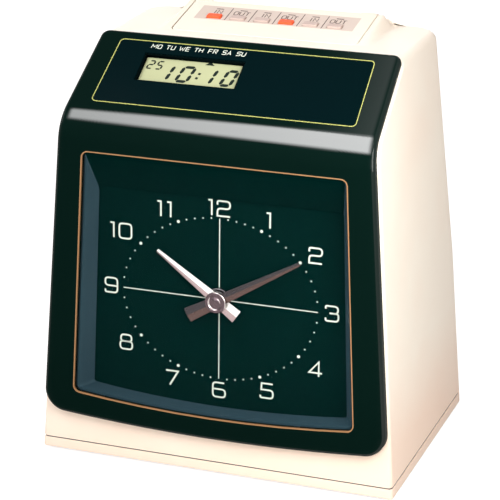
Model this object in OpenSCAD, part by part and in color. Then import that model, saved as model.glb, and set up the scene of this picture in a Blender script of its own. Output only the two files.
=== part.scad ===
// Desktop electronic time clock. A drafted housing carries a dark folded front with an analogue dial and a
// sloped display, and a raised card throat with six column keys. Millimetres, +Z up, front towards -Y,
// origin on the table under the middle of the clock.

/* [Housing] */
// Width of the housing at its foot
body_w = 212; // [204:1:220]
// Depth of the housing at its foot
body_d = 152; // [148:0.2:160]
// Height of the flat top above the underside of the base
body_h = 232; // [228:0.5:238]
// Inward draft of each side wall, degrees
side_draft = 4; // [3.2:0.1:4.6]
// Backward lean of the front, degrees
front_lean = 3.1; // [2:0.1:4]
// Height of the fold between the front and the display slope
fold_h = 197; // [193:0.5:200]
// Rise of the display slope, degrees
slope_deg = 32; // [30:0.5:34]
// How far the back leans forward at its top
back_lean_d = 13.3; // [11.5:0.1:16]
// Height at which the back starts to lean forward
back_bend_h = 95; // [80:1:120]
// Wall of the housing
wall = 2.6; // [2.2:0.1:3]
// Radius of the upright rear edges
back_edge_r = 15; // [10:0.5:18]
// Radius of the upright front edges
front_edge_r = 2; // [1:0.25:3]
// Radius of the edges round the top
top_edge_r = 5; // [3:0.5:7]
// Height of the seam between base tray and upper case
seam_h = 6.7; // [6:0.1:9]
// Height of the dark groove under the seam
groove_h = 0.9; // [0.6:0.1:1.2]
// Depth of the dark groove under the seam
groove_d = 1; // [0.6:0.1:1.4]
// Floor of the base tray
floor_t = 3; // [2.5:0.1:3.5]

/* [Feet and base mounts] */
// Height of a rubber foot below the base
foot_h = 2; // [1.5:0.1:3]
// Radius of a rubber foot
foot_r = 8; // [6:0.5:10]
// Depth of the pocket that holds a foot
foot_pocket = 1; // [0.6:0.1:1.4]
// Distance of a foot from the side of the base
foot_inset = 18; // [15:0.5:24]
// Radius of the bracket holes in the base
bracket_hole_r = 2.2; // [1.6:0.1:2.7]
// Spacing of the bracket holes across the base
bracket_w = 120; // [100:5:130]
// Spacing of the bracket holes along the base
bracket_d = 80; // [60:5:90]

/* [Front bezel] */
// Width of the housing edge that shows beside the bezel
bezel_lip = 1.3; // [1:0.1:2.5]
// Height of the lower corners of the bezel
bezel_low = 26.5; // [23.5:0.5:29]
// How far the lower edge of the bezel bows down
bezel_sag = 4.9; // [3:0.1:6]
// How far the bezel stands in front of the housing
bezel_proud = 5; // [4:0.1:6]
// How far the bezel stands off the display slope
slope_proud = 3.4; // [3.2:0.1:4.5]
// Wall of the bezel
bezel_t = 3; // [2.5:0.1:3.2]
// Radius of the fold in the bezel
fold_r = 22; // [16:0.5:24]
// Width of the rim on which the bezel seats
bezel_seat = 4; // [3:0.5:5]
// Radius of the lower corners of the bezel
bezel_low_r = 11.5; // [8:0.5:15]
// Radius of the upper corners of the bezel
bezel_top_r = 6; // [4:0.5:8]
// Chamfer along the sides of the bezel
bezel_edge = 2.5; // [1.5:0.1:3]
// Top edge of the bezel above the fold, along the slope
bezel_top = 65.2; // [63.5:0.1:65.5]
// Chamfer along the top edge of the bezel
bezel_top_edge = 1.2; // [0.6:0.1:2]

/* [Dial] */
// Height of the dial centre along the front
dial_s = 100.5; // [98:0.1:103]
// Depth of the dial face behind the housing front
dial_depth = 8; // [7:0.1:10]
// Thickness of the dial plate
dial_t = 1.6; // [1.2:0.1:2]
// Margin of the dial plate under the surround
dial_margin = 3; // [2:0.25:3.5]
// Distance of the dial opening from the sides of the housing foot, at its top
open_top_side = 29.5; // [28:0.25:32]
// Distance of the dial opening from the sides of the housing foot, at its lower corners
open_low_side = 22.5; // [21:0.25:25]
// Top of the dial opening above the dial centre
open_up = 80.3; // [78:0.1:82]
// Lower corners of the dial opening below the dial centre
open_down = 61.3; // [59:0.1:62]
// How far the lower edge of the opening bows down
open_sag = 4.8; // [3:0.1:6]
// Radius of the corners of the opening
open_r = 3.5; // [2.5:0.5:5.5]
// How far the dial floor is narrower than the opening at its top, each side
floor_top_in = 3.5; // [2.5:0.25:5.5]
// How far the dial floor is narrower than the opening at its lower corners, each side
floor_low_in = 6; // [5:0.25:8.5]
// Top of the dial floor above the dial centre
floor_up = 59.2; // [57:0.1:62]
// Lower corners of the dial floor below the dial centre
floor_down = 60.3; // [58.5:0.1:60.8]
// Wall of the dial surround
surround_t = 2; // [1.6:0.1:2.4]
// Thickness of the clear dial window
window_t = 1.5; // [1.2:0.1:1.8]
// Overlap of the window behind the bezel
window_lap = 4; // [3:0.25:5]
// Width of the gold line
trim_w = 0.65; // [0.5:0.05:1]
// Depth of the gold line in the bezel
trim_d = 1; // [0.6:0.1:1.4]

/* [Hands and movement] */
// Length of the hour hand
hour_len = 44; // [40:0.1:46]
// Tail of the hour hand
hour_tail = 13.8; // [10:0.1:16]
// Length of the minute hand
minute_len = 55.6; // [50:0.1:58]
// Tail of the minute hand
minute_tail = 19.9; // [15:0.1:22]
// Width of a hand at its tail
hand_w = 8.3; // [6:0.1:9]
// Width of a hand at its tip
hand_tip_w = 2; // [1.2:0.1:2.5]
// Thickness of a hand at its ridge
hand_t = 0.9; // [0.6:0.05:1.1]
// Radius of the hub cap
hub_r = 6.2; // [5:0.1:7]
// Thickness of the hub cap
hub_t = 1.8; // [1.4:0.1:2.2]
// Radius of the centre nut
nut_r = 7.2; // [6:0.1:8]
// Height of the centre nut over the dial
nut_h = 2; // [1.5:0.1:2.2]
// Radius of the minute arbor
arbor_r = 1.5; // [1.2:0.05:1.8]
// Radial clearance of the running fits
running_gap = 0.05; // [0.03:0.01:0.08]
// Wall of the hour pipe
pipe_t = 1; // [0.8:0.05:1.2]
// Wall of the threaded bush
bush_t = 1.3; // [1:0.05:1.6]
// Side of the square movement
movement_w = 64; // [62:1:70]
// Thickness of the movement's front plate
plate_t = 1.5; // [1.2:0.1:2]
// Depth of the movement case
movement_d = 16; // [15.5:0.1:18]
// Wall of the movement case
movement_wall = 1.5; // [1.2:0.1:2]
// Module of the cannon pinion and the drive wheel
gear_m = 0.5; // [0.5:0.05:0.55]
// Thickness of a wheel
wheel_t = 1.5; // [1.2:0.1:1.6]
// Axial room between wheels
wheel_gap = 0.4; // [0.3:0.05:0.5]
// Radius of the pulse motor
motor_r = 10; // [8:0.25:11]

/* [Display] */
// Distance of the display line from the sides of the housing foot, at its top
panel_top_side = 31.5; // [30:0.25:33.5]
// Distance of the display line from the sides of the housing foot, at its foot
panel_low_side = 29.7; // [28:0.1:32]
// Foot of the display line above the fold
panel_from = 12.2; // [11.5:0.1:13.5]
// Top of the display line above the fold
panel_to = 59; // [57:0.1:60]
// Thickness of the glossy panel
panel_t = 0.8; // [0.6:0.05:1]
// Radius of the corners of the panel
panel_r = 2.25; // [2:0.25:4]
// Width of the yellow line
line_w = 0.5; // [0.4:0.05:1]
// Width of the display window
lcd_w = 59.8; // [58:0.1:62]
// Height of the display window
lcd_h = 20.8; // [19:0.1:21.5]
// Middle of the display window, to the left of centre
lcd_x = 27.3; // [25.5:0.05:29]
// Foot of the display window above the fold
lcd_from = 29.9; // [28:0.1:31]
// Border of the display module round its window
lcd_border = 4; // [3:0.25:4.5]
// Thickness of the display module
lcd_t = 4; // [3:0.25:5]
// Thickness of a circuit board
board_t = 1.6; // [1.2:0.1:2]

/* [Card throat and keys] */
// Width of the raised throat at its top
hump_w = 117; // [114:0.5:120]
// Rise of the throat above the flat top, at the card slot
hump_h = 7.8; // [7:0.1:9]
// Spread of the soft shoulders of the throat
shoulder = 6; // [4:0.5:7]
// Share of the flat top in front of the card slot that stays clear of the throat
throat_share = 0.308; // [0.28:0.002:0.34]
// Distance of the throat's rear edge from the back of the flat top
throat_rear = 4.9; // [4:0.1:6]
// Width of the throat cover
cover_w = 111; // [110:0.5:112]
// Shadow gap round the throat cover
cover_gap = 0.5; // [0.4:0.05:0.8]
// Width of the key panel
key_panel_w = 96; // [94:0.5:98]
// Depth of the key panel
key_panel_d = 17.6; // [16:0.1:18.5]
// Thickness of the key panel
key_panel_t = 1.6; // [1.4:0.1:2]
// Pitch of the keys
key_pitch = 14.6; // [14:0.1:15]
// Width of a key
key_w = 8.6; // [8:0.1:9.6]
// Depth of a key
key_d = 4.6; // [4:0.1:5.5]
// Height of a key over the panel
key_h = 1.1; // [1:0.05:1.6]
// Travel of a key
key_travel = 0.8; // [0.6:0.05:0.9]
// Clearance round a key
key_gap = 0.3; // [0.25:0.05:0.4]
// Collar that keeps a key under the panel
key_collar = 1; // [0.8:0.1:1.2]
// Distance of the keys from the front of the panel
key_from = 1.6; // [1.6:0.1:2.5]
// Length of the card slot
card_w = 91; // [89:0.5:93]
// Width of the card slot
card_gap = 5.4; // [5:0.1:6]
// Distance of the card slot behind the key panel
card_from = 6.6; // [5.5:0.1:7.5]

/* [Print works] */
// Thickness of the sheet metal
sheet_t = 1.5; // [1.2:0.1:2]
// Clear width between the print cheeks
cheek_w = 112; // [110:1:116]
// Height of the chassis plate above the floor of the tray
chassis_lift = 7; // [6:0.25:9]
// Radius of the guide rods
rod_r = 2.5; // [2:0.1:3]
// Height of the print line above the chassis
print_h = 150; // [145:1:155]
// Half the spacing of the guide rods
rod_half = 14; // [13:0.5:16]
// Length of the print carriage
carriage_w = 24; // [20:1:28]
// Travel of the print carriage to each side
carriage_travel = 30; // [25:1:30]
// Travel of the card lift
lift_travel = 36; // [30:1:38]
// Rest height of the card lift above the chassis
lift_h = 98; // [92:1:100]

/* [Hidden] */
$fn = 20;

// Small step that keeps cuts clear of the faces that they open
eps = 0.01;
// Sides of the arcs in outlines and of the parts of hulls
arc_n = 6;

// Places along the front, in front of and above the table
bezel_overhang = bezel_proud / cos(front_lean) - (bezel_low - bezel_sag) * tan(front_lean);
front_y = (bezel_overhang - body_d) / 2;
back_y = front_y + body_d;
fold_y = front_y + fold_h * tan(front_lean);
slope_len = (body_h - fold_h) / sin(slope_deg);
top_y = fold_y + slope_len * cos(slope_deg);
back_top_y = back_y - back_lean_d;
top_z = foot_h + body_h;

// Half width of the housing, and its front and rear surfaces, at height h above the base, d mm inside
function half_w(h) = body_w / 2 - h * tan(side_draft);
function front_at(h, d = 0) = front_y + h * tan(front_lean) + d / cos(front_lean);
function slope_at(h, d = 0) = fold_y + (h - fold_h) / tan(slope_deg) + d / sin(slope_deg);
function face_at(h, d = 0) = max(front_at(h, d), slope_at(h, d));
function back_at(h, d = 0) =
    min(back_y, back_top_y + (back_y - back_top_y) * (body_h - h) / (body_h - back_bend_h)) - d;
// Height of the fold line, df mm behind the front and ds mm under the slope
function fold_at(df, ds) =
    fold_h + (ds / sin(slope_deg) - df / cos(front_lean)) / (tan(front_lean) - 1 / tan(slope_deg));

// Arc that replaces the corner b between a and c
function fillet(a, b, c, r) = r <= 0 ? [b] : let (
    u = (a - b) / norm(a - b),
    v = (c - b) / norm(c - b),
    half = acos(u * v) / 2,
    mid = b + (u + v) / norm(u + v) * r / sin(half),
    from = b + u * r / tan(half) - mid,
    to = b + v * r / tan(half) - mid,
    start = atan2(from.y, from.x),
    turn = (atan2(to.y, to.x) - start + 540) % 360 - 180
) [for (i = [0:arc_n]) mid + r * [cos(start + turn * i / arc_n), sin(start + turn * i / arc_n)]];
function round_corners(p, r) = let (n = len(p))
    [for (i = [0:n - 1], q = fillet(p[(i + n - 1) % n], p[i], p[(i + 1) % n], r[i])) q];

// Upright-sided outline with a bowed foot: half widths, heights, bow and corner radii
bow_n = 8;
function bowed(top_half, top, low_half, low, sag, top_r, low_r) = let (
    along = [for (i = [0:bow_n]) 2 * i / bow_n - 1],
    foot = [for (u = along) [low_half * u, low - sag * (1 - u * u)]],
    inner_r = [for (i = [1:bow_n - 1]) 0],
    corners = concat(foot, [[top_half, top], [-top_half, top]])
) round_corners(corners, concat([low_r], inner_r, [low_r, top_r, top_r]));

open_top_x = body_w / 2 - open_top_side;
open_low_x = body_w / 2 - open_low_side;
panel_top_x = body_w / 2 - panel_top_side;
panel_low_x = body_w / 2 - panel_low_side;
function dial_opening(grow = 0) = bowed(
    open_top_x + grow, dial_s + open_up + grow,
    open_low_x + grow, dial_s - open_down - grow,
    open_sag, open_r + grow, open_r + grow);
function dial_floor(grow = 0) = bowed(
    open_top_x - floor_top_in + grow, dial_s + floor_up + grow,
    open_low_x - floor_low_in + grow, dial_s - floor_down - grow,
    open_sag, open_r + grow, open_r + grow);
function panel_outline(grow = 0) = round_corners([[-panel_low_x - grow, panel_from - grow],
    [panel_low_x + grow, panel_from - grow], [panel_top_x + grow, panel_to + grow],
    [-panel_top_x - grow, panel_to + grow]], [for (i = [1:4]) panel_r + grow]);

// Outline of the bezel seen from the front, shrunk by d; it ends at a height or higher than the flat top
function bezel_outline(d = 0, top = top_z) = bowed(
    half_w(top - foot_h) - bezel_lip - d, top - d,
    half_w(bezel_low) - bezel_lip - d, foot_h + bezel_low + d,
    bezel_sag, bezel_top_r, bezel_low_r - d);

// Plan of the housing at height h: d in from sides and back, df in from the front
function plan(h, d, df) = let (
    w = half_w(h) - d,
    front = face_at(h, df),
    rear = back_at(h, d),
    rf = max(front_edge_r - df, 0),
    rb = max(back_edge_r - d, 0)
) round_corners([[-w, front], [w, front], [w, rear], [-w, rear]], [rf, rf, rb, rb]);

// Frames on the front and on the display slope: X across, Y up the face, Z out of it
module on_front(s = 0, n = 0)
    translate([0, front_y, foot_h]) rotate([90 - front_lean, 0, 0]) translate([0, s, n]) children();
module on_slope(s = 0, n = 0)
    translate([0, fold_y, foot_h + fold_h]) rotate([slope_deg, 0, 0]) translate([0, s, n]) children();
module on_dial(n = 0) on_front(dial_s, n) children();

module slab(h, d, df) translate([0, 0, foot_h + h]) linear_extrude(eps) polygon(plan(h, d, df));
module box(from, to) translate(from) cube(to - from);
module tube(r, hole, h) difference() {
    cylinder(r = r, h = h);
    translate([0, 0, -1]) cylinder(r = hole, h = h + 2);
}
// Loft between two outlines with the same count of points
module loft(low, low_n, high, high_n) {
    n = len(low);
    walls = [for (i = [0:n - 1]) let (j = (i + 1) % n) each [[i, n + i, n + j], [i, n + j, j]]];
    caps = [[for (i = [0:n - 1]) i], [for (i = [0:n - 1]) 2 * n - 1 - i]];
    points = concat([for (p = low) [p.x, p.y, low_n]], [for (p = high) [p.x, p.y, high_n]]);
    polyhedron(points, concat(walls, caps));
}
module ring(outer, inner, from, to) translate([0, 0, from]) linear_extrude(to - from) difference() {
    polygon(outer);
    polygon(inner);
}
module plate(outline, from, to) translate([0, 0, from]) linear_extrude(to - from) polygon(outline);

// Colours that several nodes share
cream = [0.95, 0.94, 0.87];
steel = [0.7, 0.71, 0.72];
brass = [0.85, 0.75, 0.4];
board_green = [0.1, 0.35, 0.2];
black = [0.12, 0.12, 0.12];

// Housing: the tray's lip stands inside the upper case, and posts on its floor carry the chassis
lip_h = 4;
lip_t = 1.5;
lip_gap = 0.25;
lip_in = wall + lip_gap + lip_t;
chassis_z = foot_h + floor_t + chassis_lift;
chassis_top = chassis_z + sheet_t;
post_r = 4.5;
post_inset_x = 22;
post_inset_y = 24;
post_x = body_w / 2 - post_inset_x;
post_ys = [front_y + post_inset_y, back_y - post_inset_y];
foot_x = body_w / 2 - foot_inset;
foot_ys = [front_y + foot_inset, back_y - foot_inset];
foot_pad = foot_r + 2;
foot_taper = 1.2;
foot_fit = 0.1;
bracket_y = (front_y + back_y) / 2;

// Steps of the rounded edge round the top
edge_n = 4;
// Convex body of the housing between two heights, d inside its sides and back and df inside its front
module housing_body(d, df, from, to, edge) hull() {
    slab(from, d, df);
    slab(back_bend_h, d, df);
    slab(fold_at(df, df), d, df);
    for (i = [0:edge_n]) let (a = i * 90 / edge_n)
        slab(to - eps - edge * (1 - sin(a)), d + edge * (1 - cos(a)), df);
}

module base_shell() difference() {
    hull() {
        slab(0, 0, 0);
        slab(seam_h - eps, 0, 0);
    }
    translate([0, 0, foot_h + floor_t]) linear_extrude(seam_h)
        polygon(plan(seam_h, lip_in, lip_in));
    difference() {
        box([-body_w, front_y - 1, foot_h + seam_h - groove_h], [body_w, back_y + 1, foot_h + seam_h + 1]);
        translate([0, 0, foot_h]) linear_extrude(seam_h) polygon(plan(seam_h, groove_d, groove_d));
    }
}

module base_tray() color(cream) difference() {
    union() {
        base_shell();
        translate([0, 0, foot_h + floor_t]) linear_extrude(seam_h - floor_t + lip_h) difference() {
            polygon(plan(seam_h + lip_h, wall + lip_gap, wall + lip_gap));
            polygon(plan(seam_h + lip_h, lip_in, lip_in));
        }
        for (x = [-post_x, post_x], y = post_ys)
            translate([x, y, foot_h + floor_t / 2]) cylinder(r = post_r, h = floor_t / 2 + chassis_lift);
        for (x = [-foot_x, foot_x], y = foot_ys)
            translate([x, y, foot_h + floor_t / 2]) cylinder(r = foot_pad, h = floor_t / 2 + foot_pocket);
    }
    for (x = [-foot_x, foot_x], y = foot_ys)
        translate([x, y, foot_h - 1]) cylinder(r = foot_r, h = foot_pocket + 1);
    for (x = [-bracket_w / 2, bracket_w / 2], y = [-bracket_d / 2, bracket_d / 2])
        translate([x, bracket_y + y, foot_h - 1]) cylinder(r = bracket_hole_r, h = floor_t + 2);
    box([inlet_x - inlet_w / 2 - inlet_gap, back_y - lip_in - 1, foot_h + seam_h],
        [inlet_x + inlet_w / 2 + inlet_gap, back_y, foot_h + seam_h + lip_h + 1]);
}

module rubber_feet() color(black) for (x = [-foot_x, foot_x], y = foot_ys) translate([x, y, 0])
    rotate_extrude() polygon([[0, 0], [foot_r - foot_taper, 0], [foot_r - foot_fit, foot_h / 2],
        [foot_r - foot_fit, foot_h + foot_pocket], [0, foot_h + foot_pocket]]);

// Raised card throat on the flat top, placed from its rear edge forward
hump_top = top_z + hump_h;
rear_lip = 3.4;
rear_drop = 4.3;
rear_shoulder = 2;
hump_back = back_top_y - throat_rear;
slot_back = hump_back - rear_lip;
slot_y = slot_back - card_gap;
hump_y = top_y + throat_share * (slot_y - top_y);
throat_deg = atan2(hump_h, slot_y - hump_y);
hump_corner = 5;
front_corner = 4;
// Places up the throat's incline, from its foot
panel_to_v = (slot_y - hump_y) / cos(throat_deg) - card_from;
panel_from_v = panel_to_v - key_panel_d;
panel_y = hump_y + panel_from_v * cos(throat_deg);
well_margin = 0.5;
well_w = 5 * key_pitch + key_w + 2 * (key_collar + well_margin);
well_from_v = panel_from_v + key_from - key_collar - well_margin;
well_to_v = panel_from_v + key_from + key_d + key_collar + well_margin;
// Frame on the throat: X across, Y up its incline from the foot, Z out of it
module on_throat(v = 0)
    translate([0, hump_y, top_z]) rotate([throat_deg, 0, 0]) translate([0, v, 0]) children();

function hump_plan(half, from, to) = round_corners([[-half, from], [half, from], [half, to], [-half, to]],
    [for (i = [1:4]) hump_corner]);
module hump_body() difference() {
    loft(hump_plan(hump_w / 2 + shoulder, hump_y, hump_back + rear_shoulder), top_z - eps,
        hump_plan(hump_w / 2, hump_y, hump_back), hump_top);
    on_throat() box([-body_w, -body_d, 0], [body_w, body_d, body_d]);
    box([-body_w, (slot_y + slot_back) / 2, hump_top - rear_drop], [body_w, back_y, hump_top + 1]);
}
// Space of the throat cover, grown by a gap; a thin wall of the case closes it at the rear
cover_back = hump_back - 1;
module cover_space(gap) translate([0, 0, top_z]) linear_extrude(hump_h + 1) polygon(round_corners(
    [[-cover_w / 2 - gap, hump_y - gap], [cover_w / 2 + gap, hump_y - gap],
        [cover_w / 2 + gap, cover_back + gap], [-cover_w / 2 - gap, cover_back + gap]],
    [front_corner + gap, front_corner + gap, 0, 0]));

// Opening of the flat top under the throat, and the studs beside it that carry the key board
throat_w = card_w + 3;
throat_from = hump_y + well_from_v / cos(throat_deg) - 1;
throat_to = slot_back + sheet_t + 1;
stud_r = 3;
stud_gap = 0.6;
key_board_drop = 4;
key_board_lap = 3;
key_board_z = top_z - wall - key_board_drop;
key_board_ys = [panel_y - key_board_lap, slot_y - 2 * sheet_t];
key_stud_x = throat_w / 2 + stud_r + stud_gap;
key_stud_ys = [key_board_ys[0] + stud_r, key_board_ys[1] - stud_r];

// Cover lock in the back wall
lock_x = -34;
lock_h = 62;
lock_z = foot_h + lock_h;
lock_r = 8;
lock_flange_r = 10;
lock_flange_t = 1.5;
lock_boss_r = 14;
lock_boss_t = 3;
lock_len = 17;
lock_plug_r = 5;

module upper_case() color(cream) difference() {
    union() {
        difference() {
            union() {
                housing_body(0, 0, seam_h, body_h, top_edge_r);
                difference() {
                    hump_body();
                    cover_space(cover_gap);
                }
            }
            housing_body(wall, wall, seam_h - 1, body_h - wall, top_edge_r - wall);
            translate([0, top_y, 0]) rotate([90, 0, 0])
                linear_extrude(top_y - front_y + 10) polygon(bezel_outline(bezel_seat));
            box([-throat_w / 2, throat_from, top_z - wall - 1], [throat_w / 2, throat_to, top_z + 1]);
        }
        for (x = [-key_stud_x, key_stud_x], y = key_stud_ys)
            translate([x, y, key_board_z + board_t])
                cylinder(r = stud_r, h = key_board_drop + wall / 2 - board_t);
        translate([lock_x, back_y - wall / 2, lock_z]) rotate([90, 0, 0])
            cylinder(r = lock_boss_r, h = wall / 2 + lock_boss_t);
    }
    translate([lock_x, back_y + 1, lock_z]) rotate([90, 0, 0]) {
        cylinder(r = lock_flange_r + lip_gap, h = 1 + lock_flange_t);
        cylinder(r = lock_r + running_gap, h = wall + lock_boss_t + 3);
    }
    box([inlet_x - inlet_w / 2 - inlet_gap, back_y - wall - 1, foot_h + seam_h - 1],
        [inlet_x + inlet_w / 2 + inlet_gap, back_y + 1, inlet_z + inlet_h + inlet_gap]);
}

// Front bezel: a folded band cut to the front outline
module band(df, ds, d, low) translate([-body_w, 0, 0]) rotate([90, 0, 90]) linear_extrude(2 * body_w) {
    inner_fold = foot_h + fold_at(0, 0);
    outer_fold = foot_h + fold_at(-df, -ds);
    polygon(round_corners([[front_at(low - foot_h, -df), low], [front_at(low - foot_h, d), low],
        [front_at(inner_fold - foot_h, d), inner_fold], slope_point(bezel_top, -d),
        slope_point(bezel_top, ds), [front_at(outer_fold - foot_h, -df), outer_fold]],
        [0, 0, 0, 0, 0, fold_r]));
}
function slope_point(s, n) = [fold_y + s * cos(slope_deg) - n * sin(slope_deg),
    foot_h + fold_h + s * sin(slope_deg) + n * cos(slope_deg)];
// Gap that keeps the bezel's seat just clear of the case
bezel_back = 0.05;
slope_draft = atan(tan(side_draft) * sin(slope_deg));
module chamfer_bar(length) rotate([0, 45, 0])
    cube([bezel_edge * sqrt(2), length, bezel_edge * sqrt(2)], center = true);
module side_chamfers() for (s = [-1, 1]) {
    on_front(0, bezel_proud) translate([s * (half_w(0) - bezel_lip), 0, 0])
        rotate([0, 0, s * side_draft]) chamfer_bar(2 * fold_h);
    on_slope(0, slope_proud) translate([s * (half_w(fold_h) - bezel_lip), 0, 0])
        rotate([0, 0, s * slope_draft]) chamfer_bar(2.2 * slope_len);
}
module top_chamfer() on_slope(bezel_top, slope_proud) rotate([45, 0, 0])
    cube([2 * body_w, bezel_top_edge * sqrt(2), bezel_top_edge * sqrt(2)], center = true);
module front_prism(d, top) translate([0, top_y + 2, 0]) rotate([90, 0, 0])
    linear_extrude(top_y + 2 - front_y + 2 * bezel_proud) polygon(bezel_outline(d, top));
module front_bezel() color([0.04, 0.12, 0.1]) difference() {
    intersection() {
        band(bezel_proud, slope_proud, -bezel_back, foot_h);
        front_prism(0, top_z + slope_proud);
    }
    intersection() {
        band(bezel_proud - bezel_t, slope_proud - bezel_t, 1, foot_h);
        front_prism(bezel_t, top_z);
    }
    side_chamfers();
    top_chamfer();
    on_front() {
        plate(dial_opening(), 0, bezel_proud + 1);
        plate(dial_opening(trim_w), bezel_proud - trim_d, bezel_proud + 1);
    }
    on_slope() {
        plate(panel_outline(line_w), slope_proud - panel_t, slope_proud + 1);
        translate([-lcd_x - lcd_w / 2, lcd_from, -1]) cube([lcd_w, lcd_h, slope_proud + 2]);
    }
}

// Dial and its surround
window_n = bezel_proud - bezel_t - window_t;
module dial_window() color([0.85, 0.92, 0.9, 0.25]) on_front()
    plate(dial_opening(window_lap), window_n, window_n + window_t);
// Height of the printed lines over the bezel
line_rise = 0.15;
module dial_trim() color([0.8, 0.62, 0.4]) on_front()
    ring(dial_opening(trim_w), dial_opening(), bezel_proud - trim_d, bezel_proud + line_rise);
flange_t = 1.5;
module dial_surround() color([0.2, 0.27, 0.27]) on_front() difference() {
    union() {
        plate(dial_opening(window_lap), window_n - flange_t, window_n);
        loft(dial_floor(surround_t), -dial_depth, dial_opening(surround_t), window_n - flange_t);
        plate(dial_floor(dial_margin), -dial_depth, -dial_depth + flange_t);
    }
    loft(dial_floor(), -dial_depth - eps, dial_opening(), window_n + eps);
}
bush_hole = arbor_r + running_gap + pipe_t + running_gap;
bush_r = bush_hole + bush_t;
plate_n = -dial_depth - dial_t;
module dial_plate() color([0.02, 0.18, 0.17]) on_front() difference() {
    plate(dial_floor(dial_margin), plate_n, -dial_depth);
    translate([0, dial_s, plate_n - 1]) cylinder(r = bush_r + running_gap, h = dial_t + 2);
}

// Hands
nut_n = -dial_depth + nut_h;
hour_n = nut_n + wheel_gap;
minute_n = hour_n + hand_t + 2 * wheel_gap;
cap_n = minute_n + hand_t;
hand_boss_r = 4.2;
hand_edge_t = hand_t * 0.4;
// The hands show ten past ten
hour_deg = 305;
minute_deg = 60;
// Tapered hand with a raised middle line, pointing along +Y
module hand(length, tail, hole) difference() {
    union() {
        rotate([-90, 0, 0]) loft(hand_section(hand_w), -tail, hand_section(hand_tip_w), length);
        cylinder(r = hand_boss_r, h = hand_t);
    }
    translate([0, 0, -1]) cylinder(r = hole, h = hand_t + 2);
}
function hand_section(w) =
    [[-w / 2, 0], [-w / 2, -hand_edge_t], [0, -hand_t], [w / 2, -hand_edge_t], [w / 2, 0]];
module hour_hand() color("silver") on_dial(hour_n) rotate([0, 0, -hour_deg])
    hand(hour_len, hour_tail, pipe_r);
module minute_hand() color("silver") on_dial(minute_n) rotate([0, 0, -minute_deg])
    hand(minute_len, minute_tail, arbor_r);
hub_chamfer = 0.6;
hub_rim = 2;
hub_dish = hub_t * 0.3;
hub_bore = hub_t * 0.4;
module hub_cap() color("white") on_dial(cap_n) difference() {
    rotate_extrude() polygon([[0, 0], [hub_r, 0], [hub_r, hub_t / 2], [hub_r - hub_chamfer, hub_t],
        [hub_r - hub_rim, hub_t], [hub_r - hub_rim - hub_dish, hub_t - hub_dish], [0, hub_t - hub_dish]]);
    translate([0, 0, -1]) cylinder(r = arbor_r, h = 1 + hub_bore);
}
module centre_nut() color("silver") on_dial(-dial_depth) tube(nut_r, bush_r + running_gap, nut_h);

// Movement behind the dial
pipe_hole = arbor_r + running_gap;
pipe_r = pipe_hole + pipe_t;
mov_n = plate_n - plate_t;
mov_back = mov_n - movement_d;
cannon_teeth = 12;
minute_teeth = 36;
leaf_teeth = 10;
hour_teeth = 40;
drive_teeth = 60;
motor_teeth = 10;
stud_dist = gear_m * (cannon_teeth + minute_teeth) / 2;
leaf_m = 2 * stud_dist / (leaf_teeth + hour_teeth);
motor_dist = gear_m * (drive_teeth + motor_teeth) / 2;
hour_wheel_n = mov_n - wheel_gap - wheel_t;
cannon_n = hour_wheel_n - wheel_gap;
leaf_rise = 1;
minute_wheel_n = cannon_n - leaf_rise - wheel_t;
drive_n = minute_wheel_n - 2 * wheel_gap - wheel_t - leaf_rise;
wheel_stud_r = 1;

// Toothed outline with room for the mating teeth; a tooth points along +X. Each side of a tooth runs
// through the root, the pitch circle and the tip, given as shares of the pitch from the tooth's middle.
tooth_root = 0.27;
tooth_pitch = 0.2;
tooth_tip = 0.07;
addendum = 0.85;
dedendum = 1.3;
function gear_points(teeth, m) = let (
    r = teeth * m / 2,
    p = 360 / teeth,
    side = [[r - dedendum * m, tooth_root], [r, tooth_pitch], [r + addendum * m, tooth_tip]],
    tooth = concat([for (q = side) [q[0], -q[1]]], [for (i = [2:-1:0]) side[i]])
) [for (i = [0:teeth - 1], q = tooth) q[0] * [cos((i + q[1]) * p), sin((i + q[1]) * p)]];
module gear(teeth, m, h, turn) rotate([0, 0, turn]) linear_extrude(h) polygon(gear_points(teeth, m));
// Turn that puts a tooth, or a gap, in the given direction
function gap_at(teeth, deg) = deg + 180 / teeth;

module movement_plate() color([0.8, 0.7, 0.4]) on_dial() difference() {
    union() {
        translate([-movement_w / 2, -movement_w / 2, mov_n]) cube([movement_w, movement_w, plate_t]);
        translate([0, 0, mov_n]) cylinder(r = bush_r, h = nut_n - mov_n);
    }
    translate([0, 0, mov_n - 1]) cylinder(r = bush_hole, h = nut_n - mov_n + 2);
}
movement_in = movement_w - 2 * movement_wall;
module movement_case() color([0.3, 0.32, 0.33]) on_dial() difference() {
    translate([-movement_w / 2, -movement_w / 2, mov_back]) cube([movement_w, movement_w, movement_d]);
    translate([-movement_in / 2, -movement_in / 2, mov_back + 2 * movement_wall])
        cube([movement_in, movement_in, movement_d]);
    translate([0, 0, mov_back + movement_wall]) cylinder(r = pipe_hole, h = movement_d);
}
arbor_n = mov_back + movement_wall + wheel_gap;
module minute_arbor() color(brass) on_dial() union() {
    translate([0, 0, arbor_n]) cylinder(r = arbor_r, h = cap_n + hub_bore - arbor_n);
    translate([0, 0, minute_wheel_n])
        gear(cannon_teeth, gear_m, cannon_n - minute_wheel_n, gap_at(cannon_teeth, -90));
    translate([0, 0, drive_n]) gear(drive_teeth, gear_m, wheel_t, gap_at(drive_teeth, 0));
}
module minute_wheel() color(brass) on_dial() translate([0, -stud_dist, 0]) difference() {
    union() {
        translate([0, 0, minute_wheel_n]) gear(minute_teeth, gear_m, wheel_t, 90);
        translate([0, 0, minute_wheel_n + wheel_t - eps])
            gear(leaf_teeth, leaf_m, mov_n - wheel_gap - minute_wheel_n - wheel_t + eps, 90);
    }
    translate([0, 0, minute_wheel_n - 1]) cylinder(r = wheel_stud_r + running_gap, h = movement_d);
}
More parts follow.
